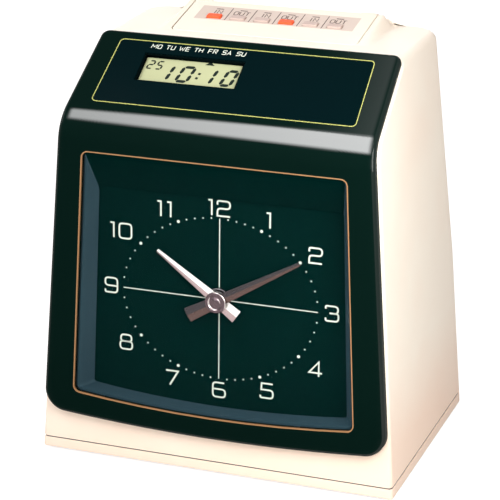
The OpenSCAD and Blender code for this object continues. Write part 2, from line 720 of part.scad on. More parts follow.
module minute_wheel_stud() color("silver") on_dial() translate([0, -stud_dist, minute_wheel_n - wheel_gap])
    cylinder(r = wheel_stud_r, h = mov_n - minute_wheel_n + wheel_gap);
module hour_wheel() color(brass) on_dial() difference() {
    union() {
        translate([0, 0, hour_wheel_n]) gear(hour_teeth, leaf_m, wheel_t, gap_at(hour_teeth, -90));
        translate([0, 0, hour_wheel_n]) cylinder(r = pipe_r, h = hour_n + hand_t - hour_wheel_n);
    }
    translate([0, 0, hour_wheel_n - 1]) cylinder(r = pipe_hole, h = hour_n + hand_t - hour_wheel_n + 2);
}
motor_n = mov_back + 2 * movement_wall;
motor_shaft_r = 0.8;
motor_floor = 1;
motor_top = drive_n - wheel_gap;
module pulse_motor() color("dimgray") on_dial() translate([motor_dist, 0, motor_n])
    difference() {
        cylinder(r = motor_r, h = motor_top - motor_n);
        translate([0, 0, motor_floor]) cylinder(r = motor_shaft_r + running_gap, h = movement_d);
    }
module motor_pinion() color("silver") on_dial() translate([motor_dist, 0, 0]) union() {
    translate([0, 0, motor_n + motor_floor + wheel_gap / 2])
        cylinder(r = motor_shaft_r, h = drive_n - motor_n);
    translate([0, 0, drive_n]) gear(motor_teeth, gear_m, wheel_t, 180);
}

// Display on the slope
lcd_n = slope_proud - bezel_t;
board_margin = 6;
module display_panel() color([0.05, 0.12, 0.14]) on_slope() difference() {
    plate(panel_outline(), slope_proud - panel_t, slope_proud);
    translate([-lcd_x - lcd_w / 2, lcd_from, 0]) cube([lcd_w, lcd_h, slope_proud + 1]);
}
module display_trim() color([0.86, 0.86, 0.4]) on_slope()
    ring(panel_outline(line_w), panel_outline(), slope_proud - panel_t, slope_proud + line_rise);
module lcd_module() color([0.75, 0.8, 0.6]) on_slope()
    translate([-lcd_x - lcd_w / 2 - lcd_border, lcd_from - lcd_border, lcd_n - lcd_t])
        cube([lcd_w + 2 * lcd_border, lcd_h + 2 * lcd_border, lcd_t]);
module display_board() color(board_green) on_slope()
    translate([-panel_top_x + board_margin, panel_from + board_margin, lcd_n - lcd_t - board_t])
        cube([2 * (panel_top_x - board_margin), panel_to - panel_from - 2 * board_margin, board_t]);

// Throat cover, key panel and keys
module throat_cover() color(cream) difference() {
    intersection() {
        hump_body();
        cover_space(0);
    }
    on_throat() {
        box([-key_panel_w / 2, panel_from_v, -key_panel_t], [key_panel_w / 2, panel_to_v, 1]);
        box([-well_w / 2, well_from_v, -hump_h], [well_w / 2, well_to_v, 0]);
    }
    box([-card_w / 2, slot_y, top_z - 1], [card_w / 2, slot_back, hump_top + 1]);
}
function key_x(i) = (i - 2.5) * key_pitch;
key_v = panel_from_v + key_from + key_d / 2;
module key_panel() color([0.82, 0.76, 0.71]) on_throat() difference() {
    box([-key_panel_w / 2, panel_from_v, -key_panel_t], [key_panel_w / 2, panel_to_v, 0]);
    for (i = [0:5]) translate([key_x(i), key_v, -key_panel_t - 1]) linear_extrude(key_panel_t + 2)
        square([key_w + 2 * key_gap, key_d + 2 * key_gap], center = true);
}
collar_gap = 0.1;
collar_top = -key_panel_t - collar_gap;
collar_t = 1.2;
stem_w = 3;
stem_gap = 0.6;
switch_h = 3.5;
// The switches lie flat, each under the foot of its key's stem
switch_z = key_board_z + board_t;
stem_foot = (switch_z + switch_h - top_z) / cos(throat_deg) - key_v * tan(throat_deg) + key_travel + stem_gap;
switch_y = hump_y + key_v * cos(throat_deg) - stem_foot * sin(throat_deg);
key_chamfer = 0.4;
// Bar of a key with its raised top, the collar under the panel and the stem over its switch
module key_block(grow, from, to) translate([0, 0, from]) linear_extrude(to - from)
    square([key_w + 2 * grow, key_d + 2 * grow], center = true);
module key(i) on_throat(key_v) translate([key_x(i), 0, 0]) union() {
    key_block(0, collar_top - eps, key_h - key_chamfer);
    key_block(-key_chamfer, key_h - key_chamfer - eps, key_h);
    key_block(key_collar, collar_top - collar_t, collar_top);
    translate([0, 0, stem_foot]) linear_extrude(collar_top - stem_foot - collar_t / 2)
        square(stem_w, center = true);
}
orange = [1, 0.45, 0.25];
key_grey = [0.75, 0.69, 0.65];
module key_1() color(orange) key(0);
module key_2() color(key_grey) key(1);
module key_3() color(key_grey) key(2);
module key_4() color(orange) key(3);
module key_5() color(key_grey) key(4);
module key_6() color(key_grey) key(5);
key_board_x = key_stud_x + stud_r;
module key_board() color(board_green) translate([0, 0, key_board_z])
    box([-key_board_x, key_board_ys[0], 0], [key_board_x, key_board_ys[1], board_t]);
switch_w = 6;
plunger_h = 0.8;
module key_switches() color(black) for (i = [0:5])
    translate([key_x(i), switch_y, switch_z]) {
        translate([-switch_w / 2, -switch_w / 2, 0]) cube([switch_w, switch_w, switch_h - plunger_h]);
        cylinder(r = stem_w / 2, h = switch_h);
    }

// Chassis and print works
chassis_x = post_x + post_r;
cheek_x = cheek_w / 2;
chute_front_y = slot_y - sheet_t;
chute_back_y = slot_back;
rod_from = 14;
rod_y = chute_front_y - rod_from;
print_z = chassis_top + print_h;
// The cheeks narrow towards the top, where the back of the case leans in
cheek_margin = 14;
cheek_rear = 10;
cheek_from = rod_y - cheek_margin;
cheek_to = chute_back_y + sheet_t + cheek_rear;
cheek_top_to = chute_back_y + sheet_t + 1;
cheek_top = key_board_z - 1;
chassis_ys = [post_ys[0] - post_r, cheek_to + 1];
cheek_flange = 12;
chute_under = 24;
chute_gap = 0.4;
chute_low = chassis_top + lift_h - chute_under;
chute_top = top_z - wall - chute_gap;
window_h = 14;
window_low = print_z - window_h / 2;
window_top = print_z + window_h / 2;
bracket_z = window_low - 1;
module chassis() color(steel)
    box([-chassis_x, chassis_ys[0], chassis_z], [chassis_x, chassis_ys[1], chassis_top]);
// Cylinders along the two guide rods, reaching half the given length to each side of x
module on_rods(x, r, length) for (z = [print_z - rod_half, print_z + rod_half])
    translate([x - length / 2, rod_y, z]) rotate([0, 90, 0]) cylinder(r = r, h = length);
cheek_side = [[cheek_from, chassis_top], [cheek_to, chassis_top], [cheek_to, bracket_z],
    [cheek_top_to, cheek_top], [cheek_from, cheek_top]];
module print_cheeks() color(steel) for (s = [0, 1]) mirror([s, 0, 0]) difference() {
    union() {
        translate([cheek_x, 0, 0]) rotate([90, 0, 90]) linear_extrude(sheet_t) polygon(cheek_side);
        box([cheek_x, cheek_from + sheet_t, chassis_top],
            [cheek_x + cheek_flange, cheek_to - sheet_t, chassis_top + sheet_t]);
    }
    on_rods(cheek_x, rod_r, 4 * sheet_t);
}
module chute_front() color(steel) difference() {
    box([-cheek_x, chute_front_y, chute_low], [cheek_x, chute_front_y + sheet_t, chute_top]);
    box([-card_w / 2, chute_front_y - 1, window_low], [card_w / 2, slot_y + 1, window_top]);
}
lift_arm = 8;
lift_arm_gap = 1;
lift_shelf_h = 3;
arm_slot_from = chute_low + 6;
arm_slot_to = chassis_top + lift_h + lift_travel + lift_shelf_h + lift_arm_gap;
module chute_back() color(steel) difference() {
    box([-cheek_x, chute_back_y, chute_low], [cheek_x, chute_back_y + sheet_t, chute_top]);
    box([-lift_arm / 2 - lift_arm_gap, chute_back_y - 1, arm_slot_from],
        [lift_arm / 2 + lift_arm_gap, chute_back_y + sheet_t + 1, arm_slot_to]);
}
rod_over = 2;
module guide_rods() color("silver") on_rods(0, rod_r, 2 * (cheek_x + sheet_t + rod_over));
carriage_d = 12;
carriage_margin = 7;
carriage_h = 2 * (rod_half + carriage_margin);
carriage_front = rod_y - carriage_d / 2;
carriage_back = rod_y + carriage_d / 2;
module print_carriage() color([0.2, 0.2, 0.22]) difference() {
    box([-carriage_w / 2, carriage_front, print_z - carriage_h / 2],
        [carriage_w / 2, carriage_back, print_z + carriage_h / 2]);
    on_rods(0, rod_r + running_gap, 2 * carriage_w);
}
head_r = 7;
head_gap = 1.5;
nose_w = 6;
nose_gap = 0.4;
module print_head() color([0.45, 0.46, 0.48]) union() {
    translate([0, carriage_back, print_z]) rotate([-90, 0, 0])
        cylinder(r = head_r, h = chute_front_y - head_gap - carriage_back);
    box([-nose_w / 2, carriage_back, print_z - nose_w / 2],
        [nose_w / 2, slot_y - nose_gap, print_z + nose_w / 2]);
}
// The cassette leaves room for the travel between the cheeks
ribbon_gap = 4;
ribbon_w = 2 * (cheek_x - carriage_travel - ribbon_gap);
ribbon_d = 16;
ribbon_h = 26;
ribbon_top = print_z + ribbon_h / 2;
spool_r = 4;
spool_depth = 2;
module ribbon_cassette() color(black) difference() {
    box([-ribbon_w / 2, carriage_front - ribbon_d, ribbon_top - ribbon_h],
        [ribbon_w / 2, carriage_front, ribbon_top]);
    for (s = [-1, 1]) translate([s * ribbon_w / 4, carriage_front - ribbon_d / 2, ribbon_top - spool_depth])
        cylinder(r = spool_r, h = spool_depth + 1);
}
platen_t = 5;
module platen() color(black) translate([0, chute_back_y + sheet_t, 0])
    box([-card_w / 2, 0, window_low + 1], [card_w / 2, platen_t, window_top - 1]);

// Card lift behind the chute
lift_z = chassis_top + lift_h;
lift_top = lift_z + lift_shelf_h;
lift_block = 14;
lift_half = 4.5;
lift_gap = 0.6;
lift_rod_y = chute_back_y + sheet_t + lift_gap + lift_half;
lift_under = 9;
lift_arm_under = 4;
lift_shelf_w = 50;
lift_play = 0.5;
bracket_t = 3;
module card_lift() color([0.85, 0.85, 0.8]) difference() {
    union() {
        box([-lift_shelf_w / 2, slot_y + lift_play, lift_z],
            [lift_shelf_w / 2, slot_back - lift_play, lift_top]);
        box([-lift_arm / 2, slot_back - lift_play - 1, lift_z - lift_arm_under],
            [lift_arm / 2, lift_rod_y, lift_top]);
        box([-lift_block / 2, lift_rod_y - lift_half, lift_z - lift_under],
            [lift_block / 2, lift_rod_y + lift_half, lift_top]);
    }
    translate([0, lift_rod_y, lift_z - 2 * lift_under]) cylinder(r = rod_r + running_gap, h = 4 * lift_under);
}
module lift_rod() color("silver") translate([0, lift_rod_y, chassis_top])
    cylinder(r = rod_r, h = bracket_z - chassis_top);
module lift_bracket() color(steel) difference() {
    box([-lift_block / 2, chute_back_y + sheet_t, bracket_z - bracket_t],
        [lift_block / 2, lift_rod_y + lift_half, bracket_z]);
    translate([0, lift_rod_y, bracket_z - bracket_t - 1]) cylinder(r = rod_r, h = bracket_t + 2);
}

// Electronics on the chassis
core = [46, 38, 38];
coil = [30, 46, 18];
main_board_lift = 6;
main_board_x = -chassis_x + 6;
main_board_y = chassis_ys[0] + 4;
main_board_gap = 6;
trafo_gap = 7;
main_board_w = chassis_x - core.x - trafo_gap - main_board_x;
main_board_d = cheek_from - main_board_gap - main_board_y;
standoff_r = 3;
standoff_inset = 5;
module on_board(lift = 0) translate([main_board_x, main_board_y, chassis_top + lift]) children();
module main_board() color(board_green) on_board() union() {
    translate([0, 0, main_board_lift]) cube([main_board_w, main_board_d, board_t]);
    for (x = [standoff_inset, main_board_w - standoff_inset],
            y = [standoff_inset, main_board_d - standoff_inset])
        translate([x, y, 0]) cylinder(r = standoff_r, h = main_board_lift + eps);
}
// Memory chips, processor, capacitors and drivers: sizes, and places from the edges of the board
memory = [22, 9, 4];
memory_at = [[14, 14], [44, 14]];
processor = [30, 12, 4];
processor_in = [20, 14];
capacitor_r = 6;
capacitor_h = 16;
capacitor_in = [22, 20];
capacitor_pitch = 18;
driver = [6, 8, 10];
driver_in = [46, 12];
driver_pitch = 10;
module board_parts() color(black) on_board(main_board_lift + board_t) {
    for (p = memory_at) translate(p) cube(memory);
    translate([processor_in.x, main_board_d - processor_in.y - processor.y]) cube(processor);
    for (i = [0:1]) translate([main_board_w - capacitor_in.x - i * capacitor_pitch, capacitor_in.y])
        cylinder(r = capacitor_r, h = capacitor_h);
    translate([main_board_w - driver_in.x, main_board_d - driver_in.y - driver.y])
        for (i = [0:3]) translate([i * driver_pitch, 0]) cube(driver);
}
// Transformer: laminated core, and the coil that shows at both ends of it
module transformer() color([0.35, 0.3, 0.28]) on_board()
    translate([main_board_w + trafo_gap + core.x / 2, coil.y / 2, core.z / 2]) union() {
        cube(core, center = true);
        cube(coil, center = true);
    }
battery_r = 6;
battery_len = 30;
battery_x = -cheek_x + 8;
battery_gap = 0.2;
battery_pitch = 2 * battery_r + battery_gap;
module backup_battery() color([0.2, 0.4, 0.6]) for (i = [0:2])
    translate([battery_x, cheek_from + battery_r + i * battery_pitch, chassis_top + battery_r + battery_gap])
        rotate([0, 90, 0]) cylinder(r = battery_r, h = battery_len);

// Power inlet in the back
inlet_w = 28;
inlet_h = 22;
inlet_gap = 0.4;
inlet_inset = 0.6;
inlet_x = 32;
inlet_z = foot_h + seam_h + lip_h;
inlet_d = 30;
socket_w = 18;
socket_d = 16;
socket_from = 3;
socket_h = 14;
module power_inlet() color(black) difference() {
    union() {
        box([inlet_x - inlet_w / 2, chassis_ys[1] + inlet_gap, inlet_z - lip_h],
            [inlet_x + inlet_w / 2, back_y - inlet_inset, inlet_z + inlet_h]);
        box([inlet_x - inlet_w / 2, back_y - inlet_d, chassis_top],
            [inlet_x + inlet_w / 2, chassis_ys[1] + inlet_gap + eps, inlet_z + inlet_h]);
    }
    box([inlet_x - socket_w / 2, back_y - socket_d, inlet_z + socket_from],
        [inlet_x + socket_w / 2, back_y, inlet_z + socket_from + socket_h]);
}

// Cover lock in the back, shown locked
module on_lock(d = 0) translate([lock_x, back_y - d, lock_z]) rotate([90, 0, 0]) children();
module lock_barrel() color("silver") on_lock() difference() {
    union() {
        cylinder(r = lock_flange_r, h = lock_flange_t);
        cylinder(r = lock_r, h = lock_len);
    }
    translate([0, 0, -1]) cylinder(r = lock_plug_r + running_gap, h = lock_len + 2);
}
cam_t = 2;
cam_w = 8;
cam_len = 20;
plug_inset = 0.4;
keyway = [1.2, 7, 6];
module lock_plug() color([0.75, 0.72, 0.6]) on_lock(plug_inset) difference() {
    cylinder(r = lock_plug_r, h = lock_len);
    translate([-keyway.x / 2, -keyway.y / 2, -1]) cube(keyway + [0, 0, 1]);
}
module lock_cam() color(steel) on_lock(plug_inset + lock_len) union() {
    cylinder(r = lock_plug_r, h = cam_t);
    translate([0, -cam_w / 2, 0]) cube([cam_len, cam_w, cam_t]);
}
// Catch on the chassis: a post beside the tip of the cam, with a hook over the cam
catch_gap = 0.6;
catch_t = 2.5;
catch_d = 10;
catch_room = 2;
catch_lap = 8;
catch_x = lock_x + cam_len + catch_room;
catch_y = back_y - lock_len - catch_d / 2 - 1;
hook_z = lock_z + cam_w / 2 + catch_gap;
module lock_catch() color(steel) translate([catch_x, catch_y, 0]) union() {
    box([0, 0, chassis_top], [catch_t, catch_d, hook_z + catch_t]);
    box([-catch_room - catch_lap, 0, hook_z], [catch_t, catch_d, hook_z + catch_t]);
}

base_tray();
rubber_feet();
upper_case();
front_bezel();
dial_window();
dial_trim();
dial_surround();
dial_plate();
display_panel();
display_trim();
lcd_module();
display_board();
throat_cover();
key_panel();
key_1();
key_2();
key_3();
key_4();
key_5();
key_6();
key_board();
key_switches();
hour_hand();
minute_hand();
hub_cap();
centre_nut();
movement_plate();
movement_case();
minute_arbor();
minute_wheel();
minute_wheel_stud();
hour_wheel();
pulse_motor();
motor_pinion();
chassis();
print_cheeks();
chute_front();
chute_back();
guide_rods();
print_carriage();
print_head();
ribbon_cassette();
platen();
card_lift();
lift_rod();
lift_bracket();
main_board();
board_parts();
transformer();
backup_battery();
power_inlet();
lock_barrel();
lock_plug();
lock_cam();
lock_catch();
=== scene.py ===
"""Looks of a desktop electronic time clock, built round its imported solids.

Lengths are written in millimetres, in the frame of the solids, and go into the meshes in metres.
"""

import math
from functools import partial

import bmesh
import bpy
import numpy as np
from mathutils import Matrix, Vector
from mathutils.geometry import delaunay_2d_cdt


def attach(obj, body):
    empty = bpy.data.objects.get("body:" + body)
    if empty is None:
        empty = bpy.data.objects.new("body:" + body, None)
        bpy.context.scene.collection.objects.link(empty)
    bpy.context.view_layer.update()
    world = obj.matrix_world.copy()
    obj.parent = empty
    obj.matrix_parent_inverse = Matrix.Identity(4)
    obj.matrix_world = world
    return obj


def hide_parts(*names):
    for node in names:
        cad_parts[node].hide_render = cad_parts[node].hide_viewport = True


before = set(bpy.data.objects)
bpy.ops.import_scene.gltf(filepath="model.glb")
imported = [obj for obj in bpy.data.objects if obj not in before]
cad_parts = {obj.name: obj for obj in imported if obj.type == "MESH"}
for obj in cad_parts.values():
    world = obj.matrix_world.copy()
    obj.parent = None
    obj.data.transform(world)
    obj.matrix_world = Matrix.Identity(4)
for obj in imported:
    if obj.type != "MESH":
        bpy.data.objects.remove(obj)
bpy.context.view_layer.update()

MM = 0.001

# Distances in metres: points closer than the first are merged, edges shorter than the second are taken out
WELD_DIST, TINY_EDGE = 2e-6, 1e-7

# Sizes of the housing, as in the part's source
BODY_W, BODY_D, BODY_H = 212.0, 152.0, 232.0
FOOT_H = 2.0
SIDE_DRAFT = math.radians(4.0)
FRONT_LEAN = math.radians(3.1)
SLOPE = math.radians(32.0)
FOLD_H = 197.0
BACK_BEND_H = 95.0
BACK_LEAN_D = 13.3
SEAM_H = 6.7
BACK_EDGE_R, FRONT_EDGE_R, TOP_EDGE_R = 15.0, 2.0, 5.0
BEZEL_LIP, BEZEL_LOW, BEZEL_SAG = 1.3, 26.5, 4.9
BEZEL_PROUD, SLOPE_PROUD, BEZEL_T = 5.0, 3.4, 3.0
FOLD_R, BEZEL_LOW_R = 22.0, 11.5
DIAL_S, DIAL_DEPTH = 100.5, 8.0

# Sizes of the skins alone: their wall, the bezel's upper edge, corners and rounding, and the fold of the case
WALL = 2.4
BEZEL_TOP, BEZEL_TOP_R, BEZEL_EDGE_R = 66.0, 5.0, 1.9
CASE_FOLD_R = 17.8

# Places that follow from the sizes
overhang = BEZEL_PROUD / math.cos(FRONT_LEAN) - (BEZEL_LOW - BEZEL_SAG) * math.tan(FRONT_LEAN)
FRONT_Y = (overhang - BODY_D) / 2
BACK_Y = FRONT_Y + BODY_D
FOLD_Y = FRONT_Y + FOLD_H * math.tan(FRONT_LEAN)
SLOPE_LEN = (BODY_H - FOLD_H) / math.sin(SLOPE)
TOP_Y = FOLD_Y + SLOPE_LEN * math.cos(SLOPE)
BACK_TOP_Y = BACK_Y - BACK_LEAN_D
TOP_Z = FOOT_H + BODY_H


# Arrays of points and faces


def grid_faces(rows, cols, wrap=False):
    """Four-cornered faces of a grid of points, row after row; the last column joins the first if it wraps."""
    r = np.arange(rows - 1)[:, None]
    c = np.arange(cols if wrap else cols - 1)[None, :]
    a, b = r * cols + c, r * cols + (c + 1) % cols
    return np.stack([a, b, b + cols, a + cols], -1).reshape(-1, 4)


def points(*coordinates):
    """Coordinates, spread to a common shape, as an array of points."""
    return np.stack(np.broadcast_arrays(*coordinates), -1).astype(float)


def smooth_step(t):
    """Rises from 0 to 1 with level ends: three t squared less two t cubed."""
    t = np.clip(t, 0, 1)
    return t * t * (3 - 2 * t)


def mix(a, b, t):
    """Goes from a to b as t goes from 0 to 1."""
    return a * (1 - t) + b * t


def sheet(p, wrap=False, keep=None):
    """Grid of points, shape rows by columns by three, as a part; keep is a mask of its faces."""
    faces = grid_faces(p.shape[0], p.shape[1], wrap)
    if keep is not None:
        faces = faces[keep.ravel()]
    return p.reshape(-1, 3), faces


def sharpen_rims(mesh):
    """Makes open edges sharp, those that one face alone uses, so that a wall's rim doesn't shade its face."""
    used = np.zeros(len(mesh.loops), np.int32)
    mesh.loops.foreach_get("edge_index", used)
    sharp = np.zeros(len(mesh.edges), bool)
    mesh.edges.foreach_get("use_edge_sharp", sharp)
    mesh.edges.foreach_set("use_edge_sharp", sharp | (np.bincount(used, minlength=len(sharp)) == 1))


def add_object(name, data):
    """Object with its data, linked to the scene."""
    obj = bpy.data.objects.new(name, data)
    bpy.context.scene.collection.objects.link(obj)
    return obj


def piece(name, parts, material, body, replaces=(), sharp=32, closed=False, wall=0):
    """One object from parts, each an array of points in millimetres and an array of faces.

    Doubled points are merged, faces of a closed shape are turned outwards, and wall adds an inner skin.
    """
    mesh = bpy.data.meshes.new(name)
    verts, faces, start = [], [], 0
    for p, f in parts:
        verts.append(p)
        faces.extend((np.asarray(f) + start).tolist())
        start += len(p)
    mesh.from_pydata((np.concatenate(verts) * MM).tolist(), [], faces)
    bm = bmesh.new()
    bm.from_mesh(mesh)
    bmesh.ops.remove_doubles(bm, verts=bm.verts, dist=WELD_DIST)
    bmesh.ops.dissolve_degenerate(bm, edges=bm.edges, dist=TINY_EDGE)
    if closed:
        bmesh.ops.recalc_face_normals(bm, faces=bm.faces)
    bm.to_mesh(mesh)
    bm.free()
    mesh.shade_smooth()
    mesh.set_sharp_from_angle(angle=math.radians(sharp))
    sharpen_rims(mesh)
    mesh.materials.append(material)
    obj = add_object(name, mesh)
    if wall:
        solid = obj.modifiers.new("wall", "SOLIDIFY")
        solid.thickness = wall * MM
        solid.offset = -1
    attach(obj, body)
    if replaces:
        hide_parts(*replaces)
    return obj


# Frames on leaning faces: across, up the face, out of it


def on_face(start, up, p):
    """Points of a leaning face's own frame: its start, plus s times its way up, plus n times its normal."""
    x, s, n = np.moveaxis(p, -1, 0)
    return points(x, start[0] + s * up[0] - n * up[1], start[1] + s * up[1] + n * up[0])


def moved(place, by, p):
    """Points taken to the frame by place, after a move in its own axes."""
    return place(p + np.array(by))


up_front = np.array([math.sin(FRONT_LEAN), math.cos(FRONT_LEAN)])
up_slope = np.array([math.cos(SLOPE), math.sin(SLOPE)])
on_front = partial(on_face, (FRONT_Y, FOOT_H), up_front)
on_slope = partial(on_face, (FOLD_Y, FOOT_H + FOLD_H), up_slope)
on_dial = partial(moved, on_front, (0, DIAL_S, 0))


# Outlines


def arc(centre, r, start, end, n):
    """Points on a circle from one angle to another, in degrees."""
    a = np.radians(np.linspace(start, end, n))
    return np.stack([centre[0] + r * np.cos(a), centre[1] + r * np.sin(a)], -1)


def rounded(corners, radii, n=10):
    """Closed outline whose corners are arcs: each starts and ends where the circle touches both sides."""
    corners = np.asarray(corners, float)
    out = []
    for a, b, c, r in zip(np.roll(corners, 1, 0), corners, np.roll(corners, -1, 0), radii):
        u, v = (a - b) / np.linalg.norm(a - b), (c - b) / np.linalg.norm(c - b)
        half = math.acos(np.clip(u @ v, -1, 1)) / 2
        if r <= 0 or half > math.radians(89.9):
            out.append(b[None])
            continue
        mid = b + (u + v) / np.linalg.norm(u + v) * r / math.sin(half)
        p, q = b + u * r / math.tan(half) - mid, b + v * r / math.tan(half) - mid
        start = math.atan2(p[1], p[0])
        turn = (math.atan2(q[1], q[0]) - start + math.pi) % (2 * math.pi) - math.pi
        t = start + turn * np.linspace(0, 1, n)
        out.append(mid + r * np.stack([np.cos(t), np.sin(t)], -1))
    return np.concatenate(out)


def bowed(top_x, top, low_x, low, sag, r, cols=25):
    """Outline with upright sides and a foot that bows down as a parabola."""
    u = np.linspace(-1, 1, cols)
    foot = np.stack([low_x * u, low - sag * (1 - u * u)], -1)
    radii = [r] + [0] * (cols - 2) + [r, r, r]
    return rounded(np.concatenate([foot, [[top_x, top], [-top_x, top]]]), radii)


def dense(outline, step=1.5):
    """Closed outline with further points along its long sides, no further apart than step."""
    ends = np.roll(outline, -1, 0)
    n = np.maximum(1, np.ceil(np.linalg.norm(ends - outline, axis=1) / step)).astype(int)
    k = np.repeat(np.arange(len(outline)), n)
    t = (np.arange(n.sum()) - np.repeat(np.cumsum(n) - n, n)) / n[k]
    return outline[k] + (ends - outline)[k] * t[:, None]


def between(inner, outer, centre, rows):
    """Rings from an inner to an outer outline, on rays from a centre through the points of both."""

    def polar(outline):
        d = dense(outline) - centre
        angle, r = np.arctan2(d[:, 1], d[:, 0]), np.hypot(d[:, 0], d[:, 1])
        order = np.argsort(angle)
        return angle[order], r[order]

    (ai, ri), (ao, ro) = polar(inner), polar(outer)
    a = np.unique(np.round(np.concatenate([ai, ao]), 6))
    r = [np.interp(a, at, rt, period=2 * math.pi) for at, rt in ((ai, ri), (ao, ro))]
    t = np.linspace(0, 1, rows)[:, None]
    reach = mix(*r, t)
    return centre[0] + reach * np.cos(a), centre[1] + reach * np.sin(a)


# Outlines of the dial opening and floor: half widths at head and foot, reach up and down from the centre
OPEN_UP = 80.3
OPENING = (76.5, 83.5, OPEN_UP, 61.3)
DIAL_FLOOR = (73.0, 77.5, 59.2, 60.3)
OPEN_SAG, OPEN_R = 4.8, 3.5

# Display panel: half width and place on the slope of its lower and upper edge, and its corners
PANEL_LOW, PANEL_HIGH, PANEL_R = (76.3, 12.2), (74.5, 59.0), 2.25


def dial_outline(head_x, foot_x, up, down):
    """Outline about the dial's centre, in the front's frame, with a bowed foot."""
    return bowed(head_x, DIAL_S + up, foot_x, DIAL_S - down, OPEN_SAG, OPEN_R)


def panel_outline():
    """Outline of the glossy display panel in the slope's frame."""
    (x0, s0), (x1, s1) = PANEL_LOW, PANEL_HIGH
    return rounded([[-x0, s0], [x0, s0], [x1, s1], [-x1, s1]], [PANEL_R] * 4)


# Shader groups that several finishes share


def group(name, inputs, outputs):
    """Empty shader group with named sockets: (name, kind, default) in, (name, kind) out."""
    tree = bpy.data.node_groups.new(name, "ShaderNodeTree")
    for label, kind, value in inputs:
        tree.interface.new_socket(label, in_out="INPUT", socket_type=kind).default_value = value
    for label, kind in outputs:
        tree.interface.new_socket(label, in_out="OUTPUT", socket_type=kind)
    return tree, tree.nodes.new("NodeGroupInput"), tree.nodes.new("NodeGroupOutput")


def put(node, **values):
    """Sets inputs of a node, or links them to an output of another; an underscore stands for a space."""
    for key, value in values.items():
        socket = node.inputs[key.replace("_", " ")]
        if isinstance(value, bpy.types.NodeSocket):
            node.id_data.links.new(value, socket)
        else:
            socket.default_value = value


def add(tree, kind, *sources, **values):
    """Node with its properties and inputs set; sources are linked to its first inputs, in turn."""
    node = tree.nodes.new(kind)
    for key, value in values.items():
        if hasattr(node, key) and key not in node.inputs:
            setattr(node, key, value)
        else:
            put(node, **{key: value})
    for source, socket in zip(sources, node.inputs):
        tree.links.new(source, socket)
    return node


def ranged(tree, value, low, high, to_low=0.0, to_high=1.0):
    """Socket of a value taken from one range to another and held at its ends."""
    ends = dict(From_Min=low, From_Max=high, To_Min=to_low, To_Max=to_high)
    return add(tree, "ShaderNodeMapRange", value, **ends).outputs["Result"]


def blend(tree, factor, first, second):
    """Socket of a mix of two colours; 6, 7 and 2 are the mix node's colour sockets."""
    node = add(tree, "ShaderNodeMix", factor, data_type="RGBA")
    tree.links.new(first, node.inputs[6])
    tree.links.new(second, node.inputs[7])
    return node.outputs[2]


FLOAT, COLOR, VECTOR = "NodeSocketFloat", "NodeSocketColor", "NodeSocketVector"
TONES = [("Main", COLOR, (1, 1, 1, 1)), ("Second", COLOR, (1, 1, 1, 1))]


def make_grain():
    """Moulded grain: fine noise for the height."""
    tree, gin, gout = group("moulded grain", [("Fine", FLOAT, 2500)], [("Height", FLOAT)])
    at = add(tree, "ShaderNodeTexCoord").outputs["Object"]
    fine = add(tree, "ShaderNodeTexNoise", Vector=at, Scale=gin.outputs["Fine"], Detail=2.0, Roughness=0.6)
    put(gout, Height=fine.outputs["Fac"])
    return tree


def make_brush():
    """Brushed metal: noise drawn out along one direction of the surface."""
    sockets = [("Stretch", VECTOR, (60, 1500, 1500))]
    tree, gin, gout = group("brushed lines", sockets, [("Height", FLOAT), ("Rough", FLOAT)])
    at = add(tree, "ShaderNodeTexCoord").outputs["Object"]
    scaled = add(tree, "ShaderNodeVectorMath", at, gin.outputs["Stretch"], operation="MULTIPLY")
    lines = add(tree, "ShaderNodeTexNoise", scaled.outputs[0], Scale=1.0, Detail=3.0).outputs["Fac"]
    put(gout, Height=lines, Rough=ranged(tree, lines, 0.0, 1.0, 0.2, 0.42))
    return tree


def make_height_tone():
    """Tone by height: a tone between two colours, by broad noise, with more of the second over the lowest 70
    mm.
    """
    tree, gin, gout = group("tone by height and noise", [*TONES, ("Broad", FLOAT, 14)], [("Color", COLOR)])
    at = add(tree, "ShaderNodeTexCoord").outputs["Object"]
    low = ranged(tree, add(tree, "ShaderNodeSeparateXYZ", at).outputs["Z"], 0.0, 0.07, 1.0, 0.0)
    broad = add(tree, "ShaderNodeTexNoise", Vector=at, Scale=gin.outputs["Broad"], Detail=3.0, Roughness=0.5)
    spread = ranged(tree, broad.outputs["Fac"], 0.35, 0.75, 0.0, 0.4)
    both = add(tree, "ShaderNodeMath", low, spread, operation="ADD", use_clamp=True)
    put(gout, Color=blend(tree, both.outputs[0], gin.outputs["Main"], gin.outputs["Second"]))
    return tree


def make_facet_light():
    """Painted light and shade of facets: the normal's share along a direction, drawn out tenfold about a
    half, mixes two tones.
    """
    tree, gin, gout = group("painted facet light", [*TONES, ("Toward", VECTOR, (0, 0, 1))], [("Color", COLOR)])
    normal = add(tree, "ShaderNodeTexCoord").outputs["Normal"]
    share = add(tree, "ShaderNodeVectorMath", normal, gin.outputs["Toward"], operation="DOT_PRODUCT")
    tone = ranged(tree, share.outputs["Value"], -0.05, 0.05)
    put(gout, Color=blend(tree, tone, gin.outputs["Second"], gin.outputs["Main"]))
    return tree


GRAIN, BRUSH, HEIGHT_TONE, FACET_LIGHT = make_grain(), make_brush(), make_height_tone(), make_facet_light()


def srgb(r, g, b):
    """Colour given as it shows on a screen, 0 to 255, as linear light."""
    c = np.array([r, g, b]) / 255
    linear = np.where(c <= 0.04045, c / 12.92, ((c + 0.055) / 1.055) ** 2.4)
    return (*linear.tolist(), 1.0)


def use(tree, shared, **values):
    """Node that places a shared group, with its own values."""
    return add(tree, "ShaderNodeGroup", node_tree=shared, **values)


def new_material(name, **values):
    """Material with the inputs of its main shader set; also gives its tree and that shader."""
    mat = bpy.data.materials.new(name)
    mat.use_nodes = True
    shader = mat.node_tree.nodes["Principled BSDF"]
    put(shader, **values)
    return mat, mat.node_tree, shader


